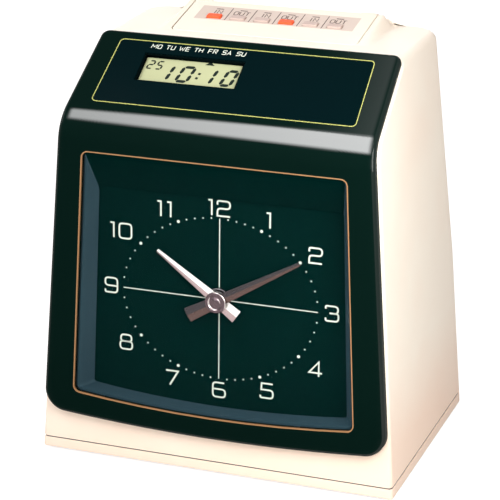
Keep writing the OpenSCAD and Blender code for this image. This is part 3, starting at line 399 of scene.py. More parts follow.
def finish(name, main_tone, second_tone, rough=0.45, specular=0.4, bump=0.0, fine=2500, broad=14, metal=0.0,
           brush=None, painted_sheen=None, toward=None):
    """Finish of one material: a tone between two given ones, with grain or brushing as bump.

    Colours are given as they show on a screen. A mask of the mesh, where one is named, gives the surface a
    glossy coat; the bezel's mask is a painted highlight. Given a direction, facets that face it take the
    first tone and
    those that face away the second: painted light and shade of the facets.
    """
    mat, tree, shader = new_material(name, Roughness=rough, Specular_IOR_Level=specular, Metallic=metal)
    tones = {"Main": srgb(*main_tone), "Second": srgb(*second_tone)}
    if toward:
        tint = use(tree, FACET_LIGHT, Toward=toward, **tones)
    else:
        tint = use(tree, HEIGHT_TONE, Broad=broad, **tones)
    put(shader, Base_Color=tint.outputs["Color"])
    if brush:
        lines = use(tree, BRUSH, Stretch=brush)
        put(shader, Roughness=lines.outputs["Rough"])
    else:
        lines = use(tree, GRAIN, Fine=fine)
    relief = add(tree, "ShaderNodeBump", Height=lines.outputs["Height"], Strength=bump, Distance=0.0002)
    put(shader, Normal=relief.outputs["Normal"])
    if painted_sheen:
        mask = add(tree, "ShaderNodeAttribute", attribute_name=painted_sheen)
        put(shader, Coat_Weight=mask.outputs["Fac"], Coat_Roughness=0.1, Coat_IOR=2.3)
    return mat


CREAM = finish("cream_moulding", (253, 250, 236), (250, 230, 211), rough=0.5, specular=0.3, bump=0.06,
               fine=1400)
# The bezel's coat follows a mask that paints the highlight band on its fold
DARK = finish("dark_bezel_moulding", (4, 23, 19), (3, 20, 16), rough=0.45, specular=0.01, bump=0.03,
              fine=1800, painted_sheen="painted_sheen")
GLOSS = finish("display_film", (2, 21, 24), (2, 19, 22), rough=0.12, specular=0.01)
RECESS = finish("recess_moulding", (48, 72, 82), (42, 65, 75), rough=0.38, specular=0.1, bump=0.03)
WINDOW_WALL = finish("window_wall", (7, 16, 16), (5, 13, 13), rough=0.6, specular=0.0)
DIAL = finish("dial_print_green", (1, 30, 28), (1, 27, 25), rough=0.6, specular=0.0, bump=0.02)
GOLD = finish("gold_line", (164, 124, 86), (156, 116, 78), rough=0.35, specular=0.2, metal=0.2)
YELLOW = finish("yellow_line", (184, 188, 108), (176, 180, 100), rough=0.5, specular=0.2)
WHITE_INK = finish("white_ink", (228, 238, 226), (218, 230, 216), rough=0.6, specular=0.1)
LCD = finish("display_polariser", (184, 191, 150), (178, 185, 144), rough=0.35, specular=0.1)
LCD_INK = finish("display_segments", (22, 34, 28), (18, 28, 24), rough=0.5, specular=0.1)
LABEL = finish("key_label_film", (224, 211, 200), (216, 202, 192), rough=0.6, specular=0.2, bump=0.02)
LABEL_INK = finish("key_label_ink", (74, 50, 50), (66, 44, 46), rough=0.6, specular=0.1)
KEY_ORANGE = finish("orange_key", (255, 102, 54), (248, 92, 46), rough=0.45, specular=0.3, bump=0.03)
KEY_GREY = finish("grey_key", (206, 187, 178), (198, 178, 170), rough=0.45, specular=0.3, bump=0.03)
# Hands and hub: each facet is lit towards the given direction and shaded away from it, as painted light and
# shade; on the hub the lit side is a painted highlight
HOUR = finish("bright_hand_painted_facets", (232, 232, 228), (184, 164, 164), metal=1.0, brush=(700, 700, 700), bump=0.02,
              toward=(0.57, 0.0, 0.82))
MINUTE = finish("dark_hand_painted_facets", (68, 64, 66), (98, 80, 76), metal=1.0, brush=(700, 700, 700), bump=0.02,
                toward=(-0.5, 0.0, 0.87))
HUB = finish("hub_metal_painted_highlight", (222, 214, 212), (98, 84, 88), metal=1.0, rough=0.15,
             toward=(0.8, 0.35, 0.5))
NUT = finish("nut_metal", (96, 96, 98), (88, 86, 88), metal=1.0, rough=0.2)
BRASS = finish("wheel_brass", (214, 178, 100), (200, 160, 84), metal=1.0, brush=(1200, 1200, 300), bump=0.03)
STEEL = finish("plated_sheet", (196, 198, 200), (182, 184, 186), metal=1.0, brush=(60, 1400, 1400), bump=0.03)
RUBBER = finish("foot_rubber", (34, 34, 34), (44, 42, 40), rough=0.85, specular=0.2, bump=0.2, fine=900)
BLACK = finish("black_moulding", (38, 38, 40), (46, 45, 45), rough=0.5, specular=0.3, bump=0.05)
GREY_CASE = finish("movement_moulding", (92, 95, 98), (84, 86, 88), rough=0.5, specular=0.3, bump=0.05)
BOARD = finish("solder_mask", (28, 98, 56), (22, 82, 46), rough=0.35, specular=0.4, bump=0.05, broad=90)
CORE = finish("varnished_core", (112, 92, 82), (92, 74, 66), rough=0.5, specular=0.3,
              brush=(10, 10, 2600), bump=0.25)
WRAP = finish("battery_wrap", (58, 112, 168), (50, 98, 150), rough=0.3, specular=0.4, bump=0.02)


# Clear window: mostly see-through, with a faint tint and a polished surface
CLEAR, *_ = new_material("clear_window", Base_Color=srgb(6, 20, 20), Roughness=0.04, Alpha=0.02)

# Solids that stay as they are, with their finishes
KEPT = {
    GOLD: ["dial_trim"], YELLOW: ["display_trim"], DIAL: ["dial_plate"], GLOSS: ["display_panel"],
    LCD: ["lcd_module"], CLEAR: ["dial_window"], LABEL: ["key_panel"], RUBBER: ["rubber_feet"],
    WRAP: ["backup_battery"], CORE: ["transformer"], GREY_CASE: ["movement_case"],
    HOUR: ["hour_hand"], MINUTE: ["minute_hand"], BOARD: ["display_board", "key_board", "main_board"],
    BLACK: ["key_switches", "ribbon_cassette", "platen", "power_inlet", "print_carriage", "board_parts",
            "card_lift"],
    BRASS: ["movement_plate", "minute_arbor", "minute_wheel", "hour_wheel", "lock_plug"],
    STEEL: ["minute_wheel_stud", "pulse_motor", "motor_pinion", "chassis", "print_cheeks", "chute_front",
            "chute_back", "guide_rods", "print_head", "lift_rod", "lift_bracket", "lock_barrel", "lock_cam",
            "lock_catch"],
}
for material, names in KEPT.items():
    for name in names:
        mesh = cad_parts[name].data
        mesh.materials.clear()
        mesh.materials.append(material)


# Housing


def plate_with_holes(outline, holes, z):
    """Flat plate at a height, in triangles; those whose centre lies in a round hole are left out."""
    loops = [outline, *holes]
    count = np.array([len(loop) for loop in loops])
    first = np.cumsum(count) - count
    edges = [(int(s + i), int(s + (i + 1) % n)) for s, n in zip(first, count) for i in range(n)]
    flat = [Vector(p) for p in np.concatenate(loops)]
    verts, _, faces, *_ = delaunay_2d_cdt(flat, edges, [], 0, 1e-4)
    verts, faces = np.array(verts), np.array(faces)
    centre = verts[faces].mean(1)
    inside = np.ones(len(faces), bool)
    for hole in holes:
        mid = hole.mean(0)
        inside &= np.hypot(*(centre - mid).T) > np.hypot(*(hole[0] - mid)) * 0.98
    return points(verts[:, 0], verts[:, 1], z), faces[inside][:, ::-1]


def half_w(h):
    """Half width of the drafted housing at a height above its base."""
    return BODY_W / 2 - h * math.tan(SIDE_DRAFT)


def face_y(h):
    """Front surface at a height: the leaning front, an arc round the fold, and the slope above it.

    The arc touches both lines: its centre lies the radius behind each of them.
    """
    line = np.maximum(FRONT_Y + h * math.tan(FRONT_LEAN), FOLD_Y + (h - FOLD_H) / math.tan(SLOPE))
    inward = np.array([[math.cos(FRONT_LEAN), -math.sin(FRONT_LEAN)], [math.sin(SLOPE), -math.cos(SLOPE)]])
    mid = np.array([FOLD_Y, FOLD_H]) + CASE_FOLD_R * inward.sum(0) / (1 + inward[0] @ inward[1])
    low, high = mid[1] - CASE_FOLD_R * inward[:, 1]
    arc_y = mid[0] - np.sqrt(np.clip(CASE_FOLD_R**2 - (h - mid[1]) ** 2, 0, None))
    return np.where((h > low) & (h < high), arc_y, line)


def back_y(h):
    """Back surface at a height: upright, then leaning forward to the top."""
    return np.minimum(BACK_Y, BACK_TOP_Y + BACK_LEAN_D * (BODY_H - h) / (BODY_H - BACK_BEND_H))


# Raised throat: an incline from its foot up to the card slot, with soft shoulders
HUMP_H, HUMP_X, SHOULDER = 7.8, 58.5, 6.0
REAR_MARGIN, SLOT_MARGIN, SLOT_D, SLOT_X = 4.9, 3.4, 5.4, 45.5
HUMP_BACK = BACK_TOP_Y - REAR_MARGIN
SLOT_BACK = HUMP_BACK - SLOT_MARGIN
SLOT_Y = SLOT_BACK - SLOT_D
FOOT_SHARE = 0.308
HUMP_Y = TOP_Y + FOOT_SHARE * (SLOT_Y - TOP_Y)
THROAT = math.atan2(HUMP_H, SLOT_Y - HUMP_Y)
COVER_X, COVER_BACK, COVER_GAP, COVER_R, COVER_RIM = 55.5, HUMP_BACK - 1.0, 0.6, 4.0, 0.7
REAR_DROP, REAR_SHOULDER = 4.3, 2.0
DROP_LEN, SIDE_DROP_LEN = 0.8, 6.0

# Key panel, measured up the incline from its foot
KEY_PANEL_X, KEY_PANEL_D, KEY_PANEL_MARGIN = 48.0, 17.6, 6.6
KEY_PANEL_TO = (SLOT_Y - HUMP_Y) / math.cos(THROAT) - KEY_PANEL_MARGIN
KEY_PANEL_FROM = KEY_PANEL_TO - KEY_PANEL_D


def hump(x, y):
    """Height of the throat over the flat top: an incline, lower behind the slot.

    Its shoulders, its rear edge and the drop behind the slot are smooth steps.
    """
    side = smooth_step((HUMP_X + SHOULDER - np.abs(x)) / SHOULDER)
    incline = np.clip((y - HUMP_Y) * math.tan(THROAT), 0, HUMP_H)
    rear = smooth_step((HUMP_BACK + REAR_SHOULDER - y) / REAR_SHOULDER)
    length = np.where(np.abs(x) > COVER_X, SIDE_DROP_LEN, DROP_LEN)
    drop = REAR_DROP * smooth_step((y - (SLOT_Y + SLOT_BACK) / 2) / length + 0.5)
    return (incline - drop) * side * rear


on_throat = partial(on_face, (HUMP_Y, TOP_Z), (math.cos(THROAT), math.sin(THROAT)))
on_panel = partial(moved, on_throat, (0, KEY_PANEL_FROM, 0))

# Columns of points round the housing, on the front, on each corner and on each side. The front's keep SEAT
# off its ends, beside the bezel's opening, and the rear's pass through the edges of inlet and lock plate.
FRONT_COLS, CORNER_COLS, SIDE_COLS, SEAT = 35, 7, 40, 6.0
REAR_X = np.array([70, 62, 54, 46.4, 40, 32, 24, 17.6, 8, -6, -14, -22, -30, -38, -46, -54, -62, -70.0])
REAR_FROM = FRONT_COLS + SIDE_COLS + 2 * CORNER_COLS


def perimeter(w, y0, y1, z, rf, rb):
    """Closed outlines, one row each: a rectangle with round corners, from its half width, ends and radii.

    Front side, right corner, right side, rear corner, rear side, and so round; arrays of rows by points.
    """
    rows = len(w)
    w, y0, y1, z, rf, rb = (np.broadcast_to(v, rows)[:, None] for v in (w, y0, y1, z, rf, rb))
    u = np.linspace(-1, 1, FRONT_COLS - 2)[None, :]
    front_x = np.concatenate([-(w - rf), (w - SEAT) * u, w - rf], 1)
    a = np.radians(np.linspace(0, 90, CORNER_COLS + 2))[None, 1:-1]
    t = np.linspace(0, 1, SIDE_COLS)[None, :]
    side_y = mix(y0 + rf, y1 - rb, t)
    rear_x = np.concatenate([w - rb, np.repeat(REAR_X[None, :], rows, 0), -(w - rb)], 1)
    xs = [front_x, w - rf + rf * np.sin(a), w + 0 * t, w - rb + rb * np.cos(a), rear_x,
          -(w - rb) - rb * np.sin(a), -w + 0 * t, -(w - rf) - rf * np.cos(a)]
    ys = [y0 + 0 * front_x, y0 + rf - rf * np.cos(a), side_y, y1 - rb + rb * np.sin(a), y1 + 0 * rear_x,
          y1 - rb + rb * np.cos(a), side_y[:, ::-1], y0 + rf - rf * np.sin(a)]
    return points(np.concatenate(xs, 1), np.concatenate(ys, 1), z)


# Openings of the case: the lock's round hole in its square plate, the inlet, and the one behind the bezel
LOCK = np.array([-34.0, FOOT_H + 62.0])
LOCK_HOLE_R, LOCK_HALF = 10.25, 12.0
INLET_X, INLET_TOP = (17.6, 46.4), 35.1
OPEN_FROM, OPEN_TO = 30.0, BODY_H - 4
SEAM_CHAMFER = 0.5


def halfway(line):
    """Places halfway between the neighbours of a line."""
    return (line[:-1] + line[1:]) / 2


def make_case():
    """Upper case: outlines from the seam up the walls, round the top edge and in over the throat's shoulders.

    Faces are left out behind the bezel, at the power inlet and at the lock, where a plate with a round hole
    takes their place.
    """
    h = np.array([SEAM_H, SEAM_H + 0.5, 12, 18, 24, OPEN_FROM, INLET_TOP - FOOT_H, 42,
                  LOCK[1] - LOCK_HALF - FOOT_H, 58, 66, LOCK[1] + LOCK_HALF - FOOT_H, 84, 92, BACK_BEND_H, 98,
                  110, 125, 140, 155, 170, 182, *np.linspace(187.8, 201.9, 11), 206, 211, 216, 222,
                  BODY_H - TOP_EDGE_R])
    e = SEAM_CHAMFER * (h == SEAM_H)
    walls = perimeter(half_w(h) - e, face_y(h), back_y(h) - e, h + FOOT_H, FRONT_EDGE_R, BACK_EDGE_R)
    a = np.radians(np.linspace(0, 90, 9))[1:]
    e = TOP_EDGE_R * (1 - np.cos(a))
    hr = BODY_H - TOP_EDGE_R * (1 - np.sin(a))
    round_top = perimeter(half_w(hr) - e, face_y(hr), back_y(hr) - e, hr + FOOT_H, FRONT_EDGE_R,
                          BACK_EDGE_R - e)
    outer_w, inner_w = half_w(BODY_H) - TOP_EDGE_R, COVER_X + COVER_GAP
    w = np.array([80, 74, 68, 65.5, *np.linspace(64.5, 57, 16), inner_w])
    t = (outer_w - w) / (outer_w - inner_w)
    y0, y1 = mix(TOP_Y, HUMP_Y - COVER_GAP, t), mix(BACK_TOP_Y - TOP_EDGE_R, COVER_BACK + COVER_GAP, t)
    rf, rb = mix(FRONT_EDGE_R, COVER_R + COVER_GAP, t), mix(BACK_EDGE_R - TOP_EDGE_R, 1.0, t)
    flat = perimeter(w, y0, y1, TOP_Z, rf, rb)
    over = np.concatenate([round_top, flat])
    over[..., 2] += hump(over[..., 0], over[..., 1])
    gap = over[-1:].repeat(2, 0)
    gap[..., 2] -= np.array([[1.5], [4.0]])
    p = np.concatenate([walls, over, gap])
    keep = np.ones((p.shape[0] - 1, p.shape[1]), bool)
    level = np.full(len(keep), math.inf)
    level[: len(h)] = halfway(np.append(h, BODY_H))
    keep[np.ix_((level > OPEN_FROM) & (level < OPEN_TO), np.arange(1, FRONT_COLS - 2))] = False
    rear = halfway(REAR_X)
    inlet = np.flatnonzero((rear > INLET_X[0]) & (rear < INLET_X[1])) + REAR_FROM + 1
    lock = np.flatnonzero(np.abs(rear - LOCK[0]) < LOCK_HALF) + REAR_FROM + 1
    keep[np.ix_(level + FOOT_H < INLET_TOP, inlet)] = False
    keep[np.ix_(np.abs(level + FOOT_H - LOCK[1]) < LOCK_HALF, lock)] = False
    square = LOCK + LOCK_HALF * np.array([[-1, -1], [1, -1], [1, 1], [-1, 1]])
    hole = arc(LOCK, LOCK_HOLE_R, 0, 360, 49)[:-1]
    plate, faces = plate_with_holes(dense(square, 8), [hole], 0.0)
    return [sheet(p, wrap=True, keep=keep), (points(plate[:, 0], BACK_Y, plate[:, 1]), faces)]


piece("case_shell", make_case(), CREAM, "housing", ["upper_case"], wall=WALL)


BRACKET = [(x, y) for x in (-60.0, 60.0) for y in (-40.0, 40.0)]
BRACKET_R, BASE_EDGE_R = 2.2, 0.8
# Seam groove: height, depth and chamfer, and how far in the grey strip of painted shade stands
GROOVE_H, GROOVE_D, GROOVE_CHAMFER, SHADE_STRIP_D = 0.9, 1.0, 0.15, 0.55


def make_base():
    """Base tray: outlines from the floor up a small round, the wall, and in at the seam groove.

    The floor is drilled for the bracket.
    """
    a = np.radians(np.linspace(0, 90, 5))
    ledge = SEAM_H - GROOVE_H
    e = np.concatenate([BASE_EDGE_R * (1 - np.sin(a)), [0, GROOVE_CHAMFER, GROOVE_D, GROOVE_D]])
    h = np.concatenate([BASE_EDGE_R * (1 - np.cos(a)), [ledge - GROOVE_CHAMFER, ledge, ledge, SEAM_H + 1]])
    p = perimeter(half_w(h) - e, face_y(h) + e, back_y(h) - e, h + FOOT_H, FRONT_EDGE_R, BACK_EDGE_R - e)
    middle = (FRONT_Y + BACK_Y) / 2
    holes = [arc((x, middle + y), BRACKET_R, 0, 360, 25)[:-1] for x, y in BRACKET]
    return [sheet(p, wrap=True), plate_with_holes(p[0, :, :2], holes, FOOT_H)]


piece("base_shell", make_base(), CREAM, "housing", ["base_tray"], wall=WALL)


def make_seam_shade():
    """Grey strip in the seam's groove, painted shade of the joint: an outline as the base's, set in, from the
    ledge up into the case.
    """
    h = SEAM_H + np.array([-GROOVE_H, 0.2])
    outline = perimeter(half_w(h) - SHADE_STRIP_D, face_y(h) + SHADE_STRIP_D, back_y(h) - SHADE_STRIP_D, h + FOOT_H,
                        FRONT_EDGE_R, BACK_EDGE_R - SHADE_STRIP_D)
    return [sheet(outline, wrap=True)]


# A grey strip in the groove paints the shade of the seam line
piece("seam_shade_strip", make_seam_shade(), GREY_CASE, "housing", wall=GROOVE_D - SHADE_STRIP_D)


def cover_lines(fixed, low, high, step):
    """Grid lines from low to high that pass through every fixed line."""
    ends = np.unique(np.concatenate([[low, high], fixed]))
    count = np.maximum(2, np.ceil(np.diff(ends) / step).astype(int) + 1)
    parts = [np.linspace(a, b, n) for a, b, n in zip(ends[:-1], ends[1:], count)]
    return np.unique(np.round(np.concatenate(parts), 6))


def make_cover():
    """Throat cover: the throat's height over a grid, with a small round at its rim, open at keys and slot.

    Its front corners are arcs: the grid narrows there to the half width less r, plus the root of r squared
    less d squared.
    """
    rim = np.array([0, 0.08, 0.2, 0.4, COVER_RIM])
    panel = HUMP_Y + np.array([KEY_PANEL_FROM, KEY_PANEL_TO]) * math.cos(THROAT)
    across = np.concatenate([COVER_X - rim, rim - COVER_X, [-KEY_PANEL_X, KEY_PANEL_X, -SLOT_X, SLOT_X]])
    xs = cover_lines(across, -COVER_X, COVER_X, 4)
    along = np.concatenate([panel, [SLOT_Y, SLOT_BACK], COVER_BACK - rim, HUMP_Y + rim])
    ys = cover_lines(along, HUMP_Y, COVER_BACK, 0.8)
    x, y = np.meshgrid(xs, ys)
    width = COVER_X - COVER_R + np.sqrt(COVER_R**2 - np.clip(HUMP_Y + COVER_R - y, 0, COVER_R) ** 2)
    x = x * width / COVER_X
    d = np.minimum(np.minimum(width - np.abs(x), COVER_BACK - y), y - HUMP_Y)
    drop = COVER_RIM - np.sqrt(COVER_RIM**2 - (COVER_RIM - np.clip(d, 0, COVER_RIM)) ** 2)
    p = points(x, y, TOP_Z + hump(x, y) - drop)
    cx, cy = np.meshgrid(halfway(xs), halfway(ys))
    keys = (np.abs(cx) < KEY_PANEL_X) & (cy > panel[0]) & (cy < panel[1])
    slot = (np.abs(cx) < SLOT_X) & (cy > SLOT_Y) & (cy < SLOT_BACK)
    return [sheet(p, keep=~(keys | slot))]


piece("throat_cover_skin", make_cover(), CREAM, "housing", ["throat_cover"], wall=1.6)


# Folded bezel, its face unrolled: across, and along a path up the front, round the fold and up the slope

face_line = on_front(np.array([0, 0, BEZEL_PROUD]))
slope_line = on_slope(np.array([0, 0, SLOPE_PROUD]))
meet = np.linalg.solve(np.stack([up_front, -up_slope], 1), slope_line[1:] - face_line[1:])
TURN = math.pi / 2 - FRONT_LEAN - SLOPE
TANGENT = FOLD_R * math.tan(TURN / 2)
Q_ARC = meet[0] - TANGENT
Q_SLOPE = Q_ARC + FOLD_R * TURN
Q_SPLIT = Q_ARC - 1.5


def unroll(s):
    """Place on the unrolled path of a point up the slope."""
    return Q_SLOPE + s - meet[1] - TANGENT


Q_TOP = unroll(BEZEL_TOP)


def on_fold(x, q, n):
    """Points on the folded path: straight up the front, on an arc round the fold, straight up the slope.

    n goes in from the face.
    """
    turn = np.clip((q - Q_ARC) / FOLD_R, 0, TURN)
    a = FRONT_LEAN + turn
    start = face_line[1:] + up_front * Q_ARC
    centre = start + FOLD_R * np.array([math.cos(FRONT_LEAN), -math.sin(FRONT_LEAN)])
    before, after = np.minimum(q - Q_ARC, 0), np.maximum(q - Q_SLOPE, 0)
    y = centre[0] - (FOLD_R - n) * np.cos(a) + (before + after) * np.sin(a)
    z = centre[1] + (FOLD_R - n) * np.sin(a) + (before + after) * np.cos(a)
    return points(x, y, z)


def bezel_x(q, e):
    """Half width of the bezel at a place on its path, e inside its edge."""
    h = on_fold(0, q, 0)[..., 2] - FOOT_H
    return half_w(h) - BEZEL_LIP - e


def mirrored(left, middle):
    """Path along a left side, a middle stretch and the mirror image of the left side."""
    return np.concatenate([left, middle, left[::-1] * [-1, 1]])


def front_path(e):
    """Edge of the bezel from the split down the left side, along the foot and up the right side, e inside.

    The foot bows down by the sag times one less the square of the share of the half width.
    """
    q_low = (BEZEL_LOW - BEZEL_PROUD * math.sin(FRONT_LEAN)) / math.cos(FRONT_LEAN)
    full = bezel_x(np.array([q_low]), 0)[0]

    def foot(x):
        return q_low + e - BEZEL_SAG * (1 - (x / full) ** 2)

    r = BEZEL_LOW_R - e
    side = np.linspace(Q_SPLIT, q_low + BEZEL_LOW_R, 60)
    left = np.stack([-bezel_x(side, e), side], -1)
    x_in = bezel_x(np.array([q_low + BEZEL_LOW_R]), e)[0] - r
    u = np.linspace(-1, 1, 61)[1:-1]
    a = np.radians(np.linspace(180, 270, 15))[1:]
    corner = np.stack([-x_in + r * np.cos(a), q_low + BEZEL_LOW_R + r * np.sin(a)], -1)
    corner[:, 1] += (foot(corner[:, 0]) - q_low - e) * smooth_step(-np.sin(a))
    bottom = np.stack([x_in * u, foot(x_in * u)], -1)
    return mirrored(np.concatenate([left, corner]), bottom)


def slope_path(e):
    """Edge of the bezel from the split up the left side, along the top and down the right side, e inside."""
    low = Q_TOP - BEZEL_TOP_R
    side = np.linspace(Q_SPLIT, low, 80)
    left = np.stack([-bezel_x(side, e), side], -1)
    x_in = bezel_x(np.array([low]), BEZEL_TOP_R)[0]
    a = np.radians(np.linspace(180, 90, 11))[1:]
    corner = np.stack([-x_in + (BEZEL_TOP_R - e) * np.cos(a), low + (BEZEL_TOP_R - e) * np.sin(a)], -1)
    u = np.linspace(-1, 1, 41)[1:-1]
    upper = np.stack([x_in * u, np.full(len(u), Q_TOP - e)], -1)
    return mirrored(np.concatenate([left, corner]), upper)


def edge_strip(path, flip):
    """Rounded edge: a quarter circle carried along the path, then straight in to the case."""
    a = np.radians(np.linspace(0, 90, 9))
    rows = [(path(BEZEL_EDGE_R * (1 - math.sin(t))), BEZEL_EDGE_R * (1 - math.cos(t))) for t in a]
    rim = path(0)
    rows.append((rim, np.interp(rim[:, 1], [Q_ARC, Q_SLOPE], [BEZEL_PROUD, SLOPE_PROUD]) + 0.3))
    p = np.stack([on_fold(line[:, 0], line[:, 1], n) for line, n in rows])
    return sheet(p[:, ::-1] if flip else p)


def crossings(hole, centre, half):
    """Where rays from the centre through a hole's points meet the split, within its half length."""
    d = dense(hole) - centre
    d = d[d[:, 1] * (Q_SPLIT - centre[1]) > 1e-6]
    x = centre[0] + (Q_SPLIT - centre[1]) * d[:, 0] / d[:, 1]
    return x[np.abs(x) < half - 0.1]


# Rows of points in the two rings of the bezel's face
DIAL_RINGS, PANEL_RINGS = 7, 30


def make_bezel():
    """Bezel face in two rings, round the dial opening and round the display panel, with rounded edges.

    The rings share their points on the split, so that they join there.
    """
    panel = panel_outline()
    panel = np.stack([panel[:, 0], unroll(panel[:, 1])], -1)
    rings = [(dial_outline(*OPENING), np.array([0, DIAL_S]), front_path, DIAL_RINGS),
             (panel, panel.mean(0), slope_path, PANEL_RINGS)]
    half = bezel_x(np.array([Q_SPLIT]), BEZEL_EDGE_R)[0]
    across = np.concatenate([crossings(hole, centre, half) for hole, centre, _, _ in rings])
    across = np.unique(across.round(4))[::-1]
    split = np.stack([across, np.full(len(across), Q_SPLIT)], -1)
    parts = [edge_strip(front_path, True), edge_strip(slope_path, False)]
    for hole, centre, rim, rows in rings:
        x, q = between(hole, np.concatenate([rim(BEZEL_EDGE_R), split]), centre, rows)
        parts.append(sheet(on_fold(x, q, 0), wrap=True))
    return parts


bezel = piece("bezel_skin", make_bezel(), DARK, "housing", ["front_bezel"], closed=True,
              wall=2.0, sharp=50)


# Painted sheen: a glossy coat on a band of the fold, which paints the highlight of the lamp's reflection
# there.
# The band lies between two rises of the normal, in degrees, and keeps off the ends by an inset; to the right
# it spreads, comes nearer to the end and grows from its least strength to full
BAND_LOW, BAND_HIGH, BAND_SPREAD, BAND_SOFT = 33, 53, 7, 6
BAND_INSET, INSET_SPREAD, INSET_SOFT, BAND_LEAST = 3.4, 2, 3, 0.6
EDGE_SHEEN, EDGE_SOFT = 0.12, 12


def painted_sheen(obj):
    """Mask of a painted highlight: a coat band along the fold, broader and stronger to the right; a trace on
    edges.

    On the fold the band is set by how far the normal rises; off it, the trace grows with the normal's turn
    away from the two flat faces.
    """
    mesh = obj.data
    normal, at = (np.zeros(len(mesh.vertices) * 3, np.float32) for _ in range(2))
    mesh.vertices.foreach_get("normal", normal)
    mesh.vertices.foreach_get("co", at)
    normal = normal.reshape(-1, 3)
    x, _, z = at.reshape(-1, 3).T / MM
    half = half_w(z - FOOT_H) - BEZEL_LIP
    right = np.clip(0.5 + x / half / 2, 0, 1)
    flats = [(0, -math.cos(FRONT_LEAN), math.sin(FRONT_LEAN)), (0, -math.sin(SLOPE), math.cos(SLOPE))]
    away = np.min([np.degrees(np.arccos(np.clip(normal @ np.array(f), -1, 1))) for f in flats], 0)
    rise = np.degrees(np.arctan2(normal[:, 2], -normal[:, 1]))
    band = smooth_step((rise - BAND_LOW + BAND_SPREAD * right) / BAND_SOFT)
    band = band * smooth_step((BAND_HIGH + BAND_SPREAD * right - rise) / BAND_SOFT)
    band = band * smooth_step((half - BAND_INSET + INSET_SPREAD * right - np.abs(x)) / INSET_SOFT)
    band = band * (BAND_LEAST + (1 - BAND_LEAST) * right)
    on_arc = (rise > math.degrees(FRONT_LEAN)) & (rise < 90 - math.degrees(SLOPE))
    away = np.where(on_arc, np.degrees(np.arcsin(np.clip(np.abs(normal[:, 0]), 0, 1))), away)
    mask = mesh.attributes.new("painted_sheen", "FLOAT", "POINT")
    trace = EDGE_SHEEN * smooth_step(away / EDGE_SOFT)
    mask.data.foreach_set("value", np.maximum(band, trace).astype(np.float32))


painted_sheen(bezel)

# Display window, and the heights over the slope of its walls' upper and lower edge
LCD_X, LCD_W, LCD_FROM, LCD_H, LCD_R = -27.3, 59.8, 29.9, 20.8, 0.5
WINDOW_HIGH, WINDOW_LOW = SLOPE_PROUD - 0.82, 0.42
in_lcd = partial(moved, on_slope, (LCD_X - LCD_W / 2, LCD_FROM, 0))


def make_display_frame():
    """Walls of the display window, from the panel down to the display."""
    x0, x1, s0, s1 = LCD_X - LCD_W / 2, LCD_X + LCD_W / 2, LCD_FROM, LCD_FROM + LCD_H
    outline = rounded([[x0, s0], [x1, s0], [x1, s1], [x0, s1]], [LCD_R] * 4, 5)
    n = np.array([WINDOW_LOW, WINDOW_HIGH])[:, None]
    return [sheet(on_slope(points(outline[:, 0], outline[:, 1], n)), wrap=True)]


piece("display_frame", make_display_frame(), WINDOW_WALL, "housing", wall=1.0)


# Points of the opening within this distance of its upper edge belong to the head
HEAD_MARGIN = 1.5


def make_recess(head):
    """Walls of the dial recess: straight lines from the opening to the smaller outline of the dial floor.

    The head, over the dial, is a part of its own, so that it can take a darker colour as painted shade.
    """
    front, floor = dial_outline(*OPENING), dial_outline(*DIAL_FLOOR)
    t = np.linspace(0, 1, 9)[:, None]
    x, s = (mix(front[:, i], floor[:, i], t) for i in range(2))
    p = on_front(points(x, s, mix(BEZEL_PROUD - BEZEL_T, -DIAL_DEPTH, t)))
    top = front[:, 1] > DIAL_S + OPEN_UP - HEAD_MARGIN
    keep = np.repeat((top & np.roll(top, -1))[None, :], len(t) - 1, 0)
    verts, faces = sheet(p, wrap=True, keep=keep if head else ~keep)
    return [(verts, faces[:, ::-1])]


piece("recess_wall", make_recess(False), RECESS, "housing", ["dial_surround"], wall=1.5)
# The head takes the dial's dark green in place of the walls' colour: painted shade of the recess's top wall
piece("recess_head_painted_shade", make_recess(True), DIAL, "housing", wall=1.5)


# Lettering, drawn as flat ribbons: strokes of points, in hundredths of a letter's width and height

STROKES = {
    "0": "0,50 0,100 100,100 100,0 0,0 0,50",
    "1": "10,100 62,100 62,0",
    "2": "0,74 0,100 100,100 100,50 0,50 0,-6; 0,0 100,0",
    "3": "0,80 0,100 96,100 96,52 30,52; 60,52 100,52 100,0 0,0 0,20",
    "4": "76,0 76,100 0,24 102,24",
    "5": "98,100 10,100; 10,106 6,50; 6,56 100,56 100,0 0,0 0,18",
    "6": "92,100 0,100 0,0 100,0 100,55 0,55",
    "7": "0,100 100,100 32,0",
    "8": "50,54 6,54 6,100 94,100 94,54 50,54; 50,54 0,54 0,0 100,0 100,54 50,54",
    "9": "0,20 0,0 100,0 100,100 0,100 0,46 100,46",
    "A": "0,0 50,100 100,0; 20,32 80,32",
    "E": "100,100 0,100 0,0 100,0; 0,52 85,52",
    "F": "100,100 0,100 0,0; 0,50 85,50",
    "H": "0,0 0,100; 100,0 100,100; 0,50 100,50",
    "I": "50,0 50,100",
    "M": "0,0 0,100 50,35 100,100 100,0",
    "N": "0,0 0,100 100,0 100,100",
    "R": "0,0 0,100 100,100 100,48 0,48; 50,48 100,0",
    "S": "100,86 100,100 0,100 0,52 100,52 100,0 0,0 0,14",
    "T": "0,100 100,100; 50,100 50,0",
    "U": "0,100 0,0 100,0 100,100",
    "W": "0,100 22,0 50,70 78,0 100,100",
}
STROKES["O"] = STROKES["0"]
SQUARE_TURNS, TURN_SHARE = set("0235689OSU"), 0.24
WIDTHS = {"1": 0.55, "I": 0.55, "M": 1.4, "W": 1.45}


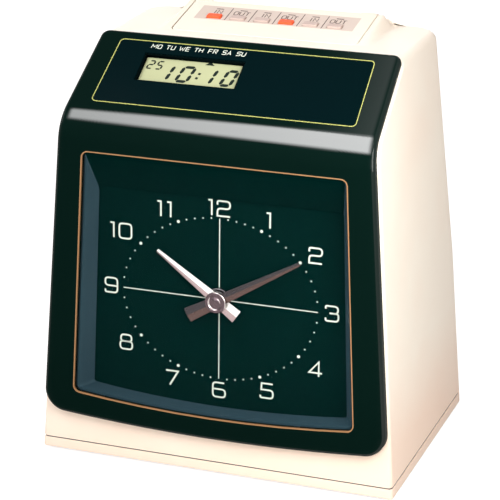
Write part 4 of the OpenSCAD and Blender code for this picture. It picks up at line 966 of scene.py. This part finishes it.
def soften(path, r, n=5):
    """Open path whose inner corners are parabolas, r long to each side, or less where a side is short."""
    out = [path[:1]]
    for a, b, c in zip(path[:-2], path[1:-1], path[2:]):
        u, v = a - b, c - b
        lu, lv = np.linalg.norm(u), np.linalg.norm(v)
        cut = min(r, 0.5 * lu, 0.5 * lv)
        t = np.linspace(0, 1, n)[:, None]
        p, q = b + u / lu * cut, b + v / lv * cut
        out.append(p * (1 - t) ** 2 + 2 * b * t * (1 - t) + q * t**2)
    line = np.concatenate([*out, path[-1:]])
    apart = np.linalg.norm(np.diff(line, axis=0), axis=1) > 1e-6
    return line[np.append(True, apart)]


def ribbon(path, width):
    """Flat ribbon: the path moved half the width to each side along the mitre of its turns."""
    step = np.diff(path, axis=0)
    step /= np.linalg.norm(step, axis=1)[:, None]
    side = np.stack([-step[:, 1], step[:, 0]], -1)
    mitre = np.concatenate([side[:1], side[:-1] + side[1:], side[-1:]])
    mitre /= np.maximum(np.linalg.norm(mitre, axis=1)[:, None], 1e-6)
    first = np.concatenate([side, side[-1:]])
    reach = width / 2 / np.clip(np.sum(mitre * first, 1), 0.5, 1)
    return path + mitre * reach[:, None], path - mitre * reach[:, None]


def printed(x, y, place, lift, wrap=False):
    """Flat print: a grid of points across and up a surface, lifted off it and taken to the frame by place."""
    return sheet(place(points(x, y, lift))[::-1], wrap)


def letter_parts(text, place, size, width, pitch, bold, lift, lean=0.0):
    """Ribbons of a word about its middle: size is the letters' height, lift the height over the surface.

    place takes points across, up and out of the surface to the frame; lean shears the letters sideways.
    """
    widths = width * np.array([WIDTHS.get(c, 1) for c in text])
    advance = widths + pitch - width
    start = np.cumsum(advance) - advance - (advance.sum() - pitch + width) / 2
    parts = []
    for c, x, w in zip(text, start, widths):
        for stroke in STROKES[c].split(";"):
            unit = np.array([p.split(",") for p in stroke.split()], float) / 100
            path = unit * [w, size] + [x, -size / 2]
            if c in SQUARE_TURNS:
                path = soften(path, TURN_SHARE * size)
            across, up = np.moveaxis(np.stack(ribbon(path, bold)), -1, 0)
            parts.append(printed(across + lean * up, up, place, lift))
    return parts


# Share of their size that rings of points leave open at the centre
CENTRE_SHARE = 0.02


def disc(centre, r, place, lift, n=20):
    """Flat disc as rings of points about its centre."""
    a = np.linspace(0, 2 * math.pi, n, endpoint=False)
    x, y = (np.outer([CENTRE_SHARE, 1], f(a)) * r for f in (np.cos, np.sin))
    return printed(x + centre[0], y + centre[1], place, lift, wrap=True)


def bar(a, b, width, place, lift):
    """Flat straight line from a to b."""
    sides = np.stack(ribbon(np.array([a, b], float), width))
    return printed(sides[..., 0], sides[..., 1], place, lift)


# Print: its height over a surface, and the height, width, pitch and stroke of its letters
INK = 0.05
NUMERAL_TYPE, DAY_TYPE, LEGEND_TYPE = (8.6, 7.4, 9.2, 1.0), (2.8, 2.05, 2.95, 0.48), (4.2, 2.5, 3.4, 0.5)

# Dial: places of the numerals, half axes of the minute track, radii of its dots and width of its cross
NUMERALS = {"12": (-0.6, 52.8), "1": (28.9, 49.0), "2": (55.9, 32.3), "3": (66.0, 0.3), "4": (57.1, -33.1),
            "5": (28.7, -50.1), "6": (0.2, -53.6), "7": (-28.3, -50.4), "8": (-56.4, -32.6),
            "9": (-65.3, 0.4), "10": (-59.4, 33.2), "11": (-32.5, 48.7)}
TRACK = (57.8, 46.9)
MINUTE_DOT, HOUR_DOT, CROSS_W = 0.47, 0.9, 0.55


def make_dial_print():
    """Ink on the dial: minute dots on an ellipse, each at its true angle, hour dots, a cross and numerals."""
    lift = -DIAL_DEPTH + INK
    parts = []
    for minute in range(60):
        a = math.radians(90 - 6 * minute)
        if minute % 15 == 0:
            continue
        r = 1 / math.hypot(math.cos(a) / TRACK[0], math.sin(a) / TRACK[1])
        at = (r * math.cos(a), r * math.sin(a))
        parts.append(disc(at, HOUR_DOT if minute % 5 == 0 else MINUTE_DOT, on_dial, lift))
    for x, y in ((0, TRACK[1]), (TRACK[0], 0)):
        parts.append(bar((-x, -y), (x, y), CROSS_W, on_dial, lift))
    for text, (x, y) in NUMERALS.items():
        parts += letter_parts(text, partial(moved, on_dial, (x, y, 0)), *NUMERAL_TYPE, lift)
    return parts


piece("dial_print", make_dial_print(), WHITE_INK, "housing")

# Display: segments of the digits and their ends on a unit square
SEGMENTS = {"0": "abcdef", "1": "bc", "2": "abged", "5": "afgcd"}
SEGMENT_ENDS = {"a": ((0, 1), (1, 1)), "b": ((1, 1), (1, 0.5)), "c": ((1, 0.5), (1, 0)),
                "d": ((0, 0), (1, 0)), "e": ((0, 0), (0, 0.5)), "f": ((0, 0.5), (0, 1)),
                "g": ((0, 0.5), (1, 0.5))}

# Its digits, each with its left end and its width; their foot and height; their stroke, gap and lean
HOUR_DIGITS = (("1", 10.2, 6.5), ("0", 22.6, 6.5), ("1", 35.8, 6.5), ("0", 48.8, 5.7))
HOUR_FOOT, HOUR_H, HOUR_STYLE = 4.5, 10.7, (2.0, 0.2, 0.22)
DATE_DIGITS = (("2", 2.7, 3.0), ("5", 8.0, 3.0))
DATE_FOOT, DATE_H, DATE_STYLE = 11.9, 5.7, (1.0, 0.1, 0.18)

# Ends and width of the two bars between hour and minutes, and the corners of the mark under a day
COLON = (((34.0, 7.05), (34.32, 8.55)), ((34.7, 10.35), (35.02, 11.85)))
COLON_W = 1.6
MARK_X, MARK_S = np.array([[38.4, 39.0], [35.9, 41.8]]), np.array([[20.2], [18.0]])


def segment_parts(digit, corner, size, thick, gap, lean, place, lift):
    """Display digit: each segment is a bar with pointed ends, short of its corners by the gap, and leans."""
    parts = []
    for name in SEGMENTS[digit]:
        a, b = (np.array(e, float) * size for e in SEGMENT_ENDS[name])
        along = (b - a) / np.linalg.norm(b - a)
        a, b = a + along * gap, b - along * gap
        side = np.array([-along[1], along[0]]) * thick / 2
        from_a, from_b = a + along * thick * 0.5, b - along * thick * 0.5
        p = np.array([[a, from_a + side, from_b + side, b], [a, from_a - side, from_b - side, b]])
        x = corner[0] + p[..., 0] + lean * p[..., 1]
        parts.append(printed(x, corner[1] + p[..., 1], place, lift))
    return parts


def make_lcd_print():
    """Display segments: the hour in large digits, the date in small ones, and the mark at the top edge."""
    lift = SLOPE_PROUD - BEZEL_T + INK
    parts = []
    for digits, foot, height, style in ((HOUR_DIGITS, HOUR_FOOT, HOUR_H, HOUR_STYLE),
                                        (DATE_DIGITS, DATE_FOOT, DATE_H, DATE_STYLE)):
        for digit, x, w in digits:
            parts += segment_parts(digit, (x, foot), (w, height), *style, in_lcd, lift)
    parts += [bar(low, high, COLON_W, in_lcd, lift) for low, high in COLON]
    parts.append(printed(MARK_X, MARK_S, in_lcd, lift))
    return parts


piece("display_digits", make_lcd_print(), LCD_INK, "housing")

# Days, the place of the first on the slope, the step to the next and their lean
DAYS = ("MO", "TU", "WE", "TH", "FR", "SA", "SU")
DAY_X, DAY_S, DAY_STEP, DAY_LEAN = -52.0, 55.7, 8.4, 0.12


def make_days():
    """Names of the days in white above the display window."""
    parts = []
    for i, day in enumerate(DAYS):
        at = partial(moved, on_slope, (DAY_X + DAY_STEP * i, DAY_S, 0))
        parts += letter_parts(day, at, *DAY_TYPE, SLOPE_PROUD + INK, lean=DAY_LEAN)
    return parts


piece("day_names", make_days(), WHITE_INK, "housing")

# Keys: pitch, sizes and margin; the round of their corners, its least, that of the top edge, the reach down
KEY_PITCH, KEY_W, KEY_D, KEY_H, KEY_MARGIN = 14.6, 8.6, 4.6, 1.1, 1.6
KEY_R, KEY_LEAST_R, KEY_EDGE_R, KEY_REACH = 0.8, 0.3, 0.45, 3.0
KEY_V = KEY_MARGIN + KEY_D / 2

# Print behind them: ends and width of the lines between cells, place of the words, and the bars over these
LINE_FROM, LINE_TO, LINE_W = 0.4, KEY_PANEL_D - 1.2, 0.45
WORD_V, OVER_V, OVER_X, OVER_W = 10.4, 14.2, 2.2, 0.8


def key_x(i):
    """Place across of a key, counted from 0."""
    return (i - 2.5) * KEY_PITCH


def make_key_print():
    """Ink of the key panel: a line between cells, and a word with a bar over it behind each key."""
    parts = []
    for i in range(5):
        x = (i - 2) * KEY_PITCH
        parts.append(bar((x, LINE_FROM), (x, LINE_TO), LINE_W, on_panel, INK))
    for i in range(6):
        x = key_x(i)
        word = "IN" if i % 2 == 0 else "OUT"
        parts += letter_parts(word, partial(moved, on_panel, (x, WORD_V, 0)), *LEGEND_TYPE, INK)
        parts.append(bar((x - OVER_X, OVER_V), (x + OVER_X, OVER_V), OVER_W, on_panel, INK))
    return parts


piece("key_legends", make_key_print(), LABEL_INK, "housing")


def key_outline(e):
    """Outline of a key bar, e inside its edge."""
    x, v = KEY_W / 2 - e, KEY_D / 2 - e
    return rounded([[-x, -v], [x, -v], [x, v], [-x, v]], [max(KEY_R - e, KEY_LEAST_R)] * 4, 6)


def make_key(i):
    """Key bar: a rounded box, corners on circles and the top edge on a quarter circle, with a crowned top."""
    a = np.radians(np.linspace(0, 90, 6))[1:]
    low = KEY_H - KEY_EDGE_R
    rows = [(0.0, -KEY_REACH), (0.0, low)]
    rows += [(KEY_EDGE_R * (1 - math.cos(t)), low + KEY_EDGE_R * math.sin(t)) for t in a]
    rows += [(1.2, KEY_H), (2.0, KEY_H - 0.05)]
    flat = np.stack([key_outline(e) for e, _ in rows]) + [key_x(i), KEY_V]
    height = np.array([n for _, n in rows])[:, None]
    p = on_panel(points(flat[..., 0], flat[..., 1], height))
    parts = [sheet(p, wrap=True)]
    for ring in (p[-1], p[0]):
        mid = ring.mean(0)
        parts.append(sheet(np.stack([ring, mid + CENTRE_SHARE * (ring - mid)]), wrap=True))
    return parts


for i in range(6):
    orange = i in (0, 3)
    piece(f"key_bar_{i + 1}", make_key(i), KEY_ORANGE if orange else KEY_GREY, f"button_{i + 1}",
          [f"key_{i + 1}"], closed=True)


# Turned pieces at the dial centre


def turned(profile, n=72):
    """Profile of radius and height, carried round the dial's axis."""
    r, z = np.asarray(profile, float).T[..., None]
    a = np.linspace(0, 2 * math.pi, n, endpoint=False)
    return sheet(on_dial(points(r * np.cos(a), r * np.sin(a), z)), wrap=True)


# Hub and nut: heights from the dial's face up, and the radius left open on the axis
NUT_H, NUT_HOLE_R, NUT_R, NUT_EDGE_R = 2.0, 4.05, 7.2, 0.6
HAND_T, GAP, HUB_R, HUB_T, AXIS_R = 0.9, 0.4, 6.2, 1.8, 0.02
CAP_N = -DIAL_DEPTH + NUT_H + GAP + HAND_T + 2 * GAP + HAND_T
hub_top, nut_top = CAP_N + HUB_T, -DIAL_DEPTH + NUT_H
hub_profile = [(AXIS_R, CAP_N), (HUB_R - 0.3, CAP_N), *arc((HUB_R - 0.7, hub_top - 0.9), 0.7, 0, 90, 7),
               *arc((HUB_R - 1.7, hub_top - 0.6), 0.4, 90, 180, 5), (HUB_R - 2.3, CAP_N + 1.0),
               (HUB_R - 3.2, CAP_N + 0.9), (HUB_R - 3.5, CAP_N + 1.1), (1.2, CAP_N + 1.35),
               (AXIS_R, CAP_N + 1.4)]
piece("hub_dome", [turned(hub_profile)], HUB, "minute", ["hub_cap"], closed=True, sharp=60)
nut_profile = [(NUT_HOLE_R, -DIAL_DEPTH), (NUT_R, -DIAL_DEPTH),
               *arc((NUT_R - NUT_EDGE_R, nut_top - NUT_EDGE_R), NUT_EDGE_R, 0, 90, 7), (4.6, nut_top),
               (NUT_HOLE_R, nut_top - 0.4), (NUT_HOLE_R, -DIAL_DEPTH)]
piece("nut_ring", [turned(nut_profile)], NUT, "housing", ["centre_nut"], closed=True, sharp=60)


# Stage: floor, light and camera


def sight(tree):
    """Socket that is 1 for rays of the camera, of reflections and through clear pieces, 0 for soft light."""
    seen = add(tree, "ShaderNodeLightPath")
    most = seen.outputs["Is Camera Ray"]
    for label in ("Is Glossy Ray", "Is Transmission Ray"):
        most = add(tree, "ShaderNodeMath", most, seen.outputs[label], operation="MAXIMUM").outputs[0]
    return most


def make_floor():
    """Pale floor, white where the camera or a polished surface sees it, but for the clock's shadow."""
    mat, tree, shader = new_material("pale_floor", Base_Color=(0.5, 0.48, 0.47, 1), Roughness=0.9,
                                     Specular_IOR_Level=0.0)
    glow = add(tree, "ShaderNodeEmission", Strength=0.8)
    nothing = add(tree, "ShaderNodeEmission", Strength=0.0)
    pick = add(tree, "ShaderNodeMixShader", sight(tree), nothing.outputs[0], glow.outputs[0])
    both = add(tree, "ShaderNodeAddShader", shader.outputs[0], pick.outputs[0])
    put(tree.nodes["Material Output"], Surface=both.outputs[0])
    mesh = bpy.data.meshes.new("floor")
    mesh.from_pydata([(-6, -6, 0), (6, -6, 0), (6, 6, 0), (-6, 6, 0)], [], [(0, 1, 2, 3)])
    mesh.materials.append(mat)
    obj = add_object("floor", mesh)


make_floor()


def make_world(ambient, white):
    """World: soft light for the object, and white where the camera or a polished surface sees it."""
    world = bpy.data.worlds.new("studio")
    bpy.context.scene.world = world
    world.use_nodes = True
    tree = world.node_tree
    back = tree.nodes["Background"]
    put(back, Color=(*ambient, 1))
    front = add(tree, "ShaderNodeBackground", Color=(1, 1, 1, 1), Strength=white)
    pick = add(tree, "ShaderNodeMixShader", sight(tree), back.outputs[0], front.outputs[0])
    put(tree.nodes["World Output"], Surface=pick.outputs[0])


make_world((0.25, 0.175, 0.17), 1.0)


def direction(azimuth, elevation):
    """Unit vector toward an azimuth, in degrees from the front to the right, and an elevation."""
    a, e = math.radians(azimuth), math.radians(elevation)
    return Vector((math.sin(a) * math.cos(e), -math.cos(a) * math.cos(e), math.sin(e)))


# Place that the lamps look at, in metres
MIDDLE = Vector((0, 0, 0.12))


def lamp(name, azimuth, elevation, distance, size, power, colour=(1, 1, 1)):
    """Soft rectangular lamp that looks at the middle of the clock from an azimuth and elevation."""
    light = bpy.data.lights.new(name, "AREA")
    light.shape = "RECTANGLE"
    light.size, light.size_y = size
    light.energy, light.color = power, colour
    back = direction(azimuth, elevation)
    obj = add_object(name, light)
    obj.location = MIDDLE + back * distance
    obj.rotation_euler = back.to_track_quat("Z", "Y").to_euler()
    obj.visible_camera = False


lamp("key", -39, 55, 1.4, (1.25, 1.25), 14.5)
lamp("front_fill", -10, 14, 1.5, (0.9, 0.7), 6.0)
lamp("right_fill", 44, 24, 0.42, (0.2, 0.3), 1.6, (1, 0.98, 0.94))
lamp("left_rim", -105, 12, 1.0, (0.25, 0.8), 1.2, (0.7, 1.0, 0.96))
lamp("back_fill", 196, 10, 1.5, (0.9, 0.7), 6)


def make_camera():
    """Camera at the photograph's view: it looks at a point from a direction, with a slight roll."""
    azimuth, elevation, roll = 20.589, 20.490, math.radians(-0.5145)
    aim, distance = Vector((-6.273, 5.318, 107.249)) * MM, 1280.7 * MM
    back, right = direction(azimuth, elevation), direction(azimuth + 90, 0)
    up = back.cross(right)
    turned_right = math.cos(roll) * right + math.sin(roll) * up
    turned_up = math.cos(roll) * up - math.sin(roll) * right
    data = bpy.data.cameras.new("photo_view")
    data.sensor_fit, data.sensor_width, data.lens = "HORIZONTAL", 36.0, 158.546
    data.clip_start, data.clip_end = 0.05, 50
    cam = add_object("photo_view", data)
    turn = Matrix((turned_right, turned_up, back)).transposed().to_4x4()
    cam.matrix_world = Matrix.Translation(aim + back * distance) @ turn
    bpy.context.scene.camera = cam


make_camera()
bpy.context.scene.view_settings.view_transform = "Standard"

bpy.context.view_layer.update()
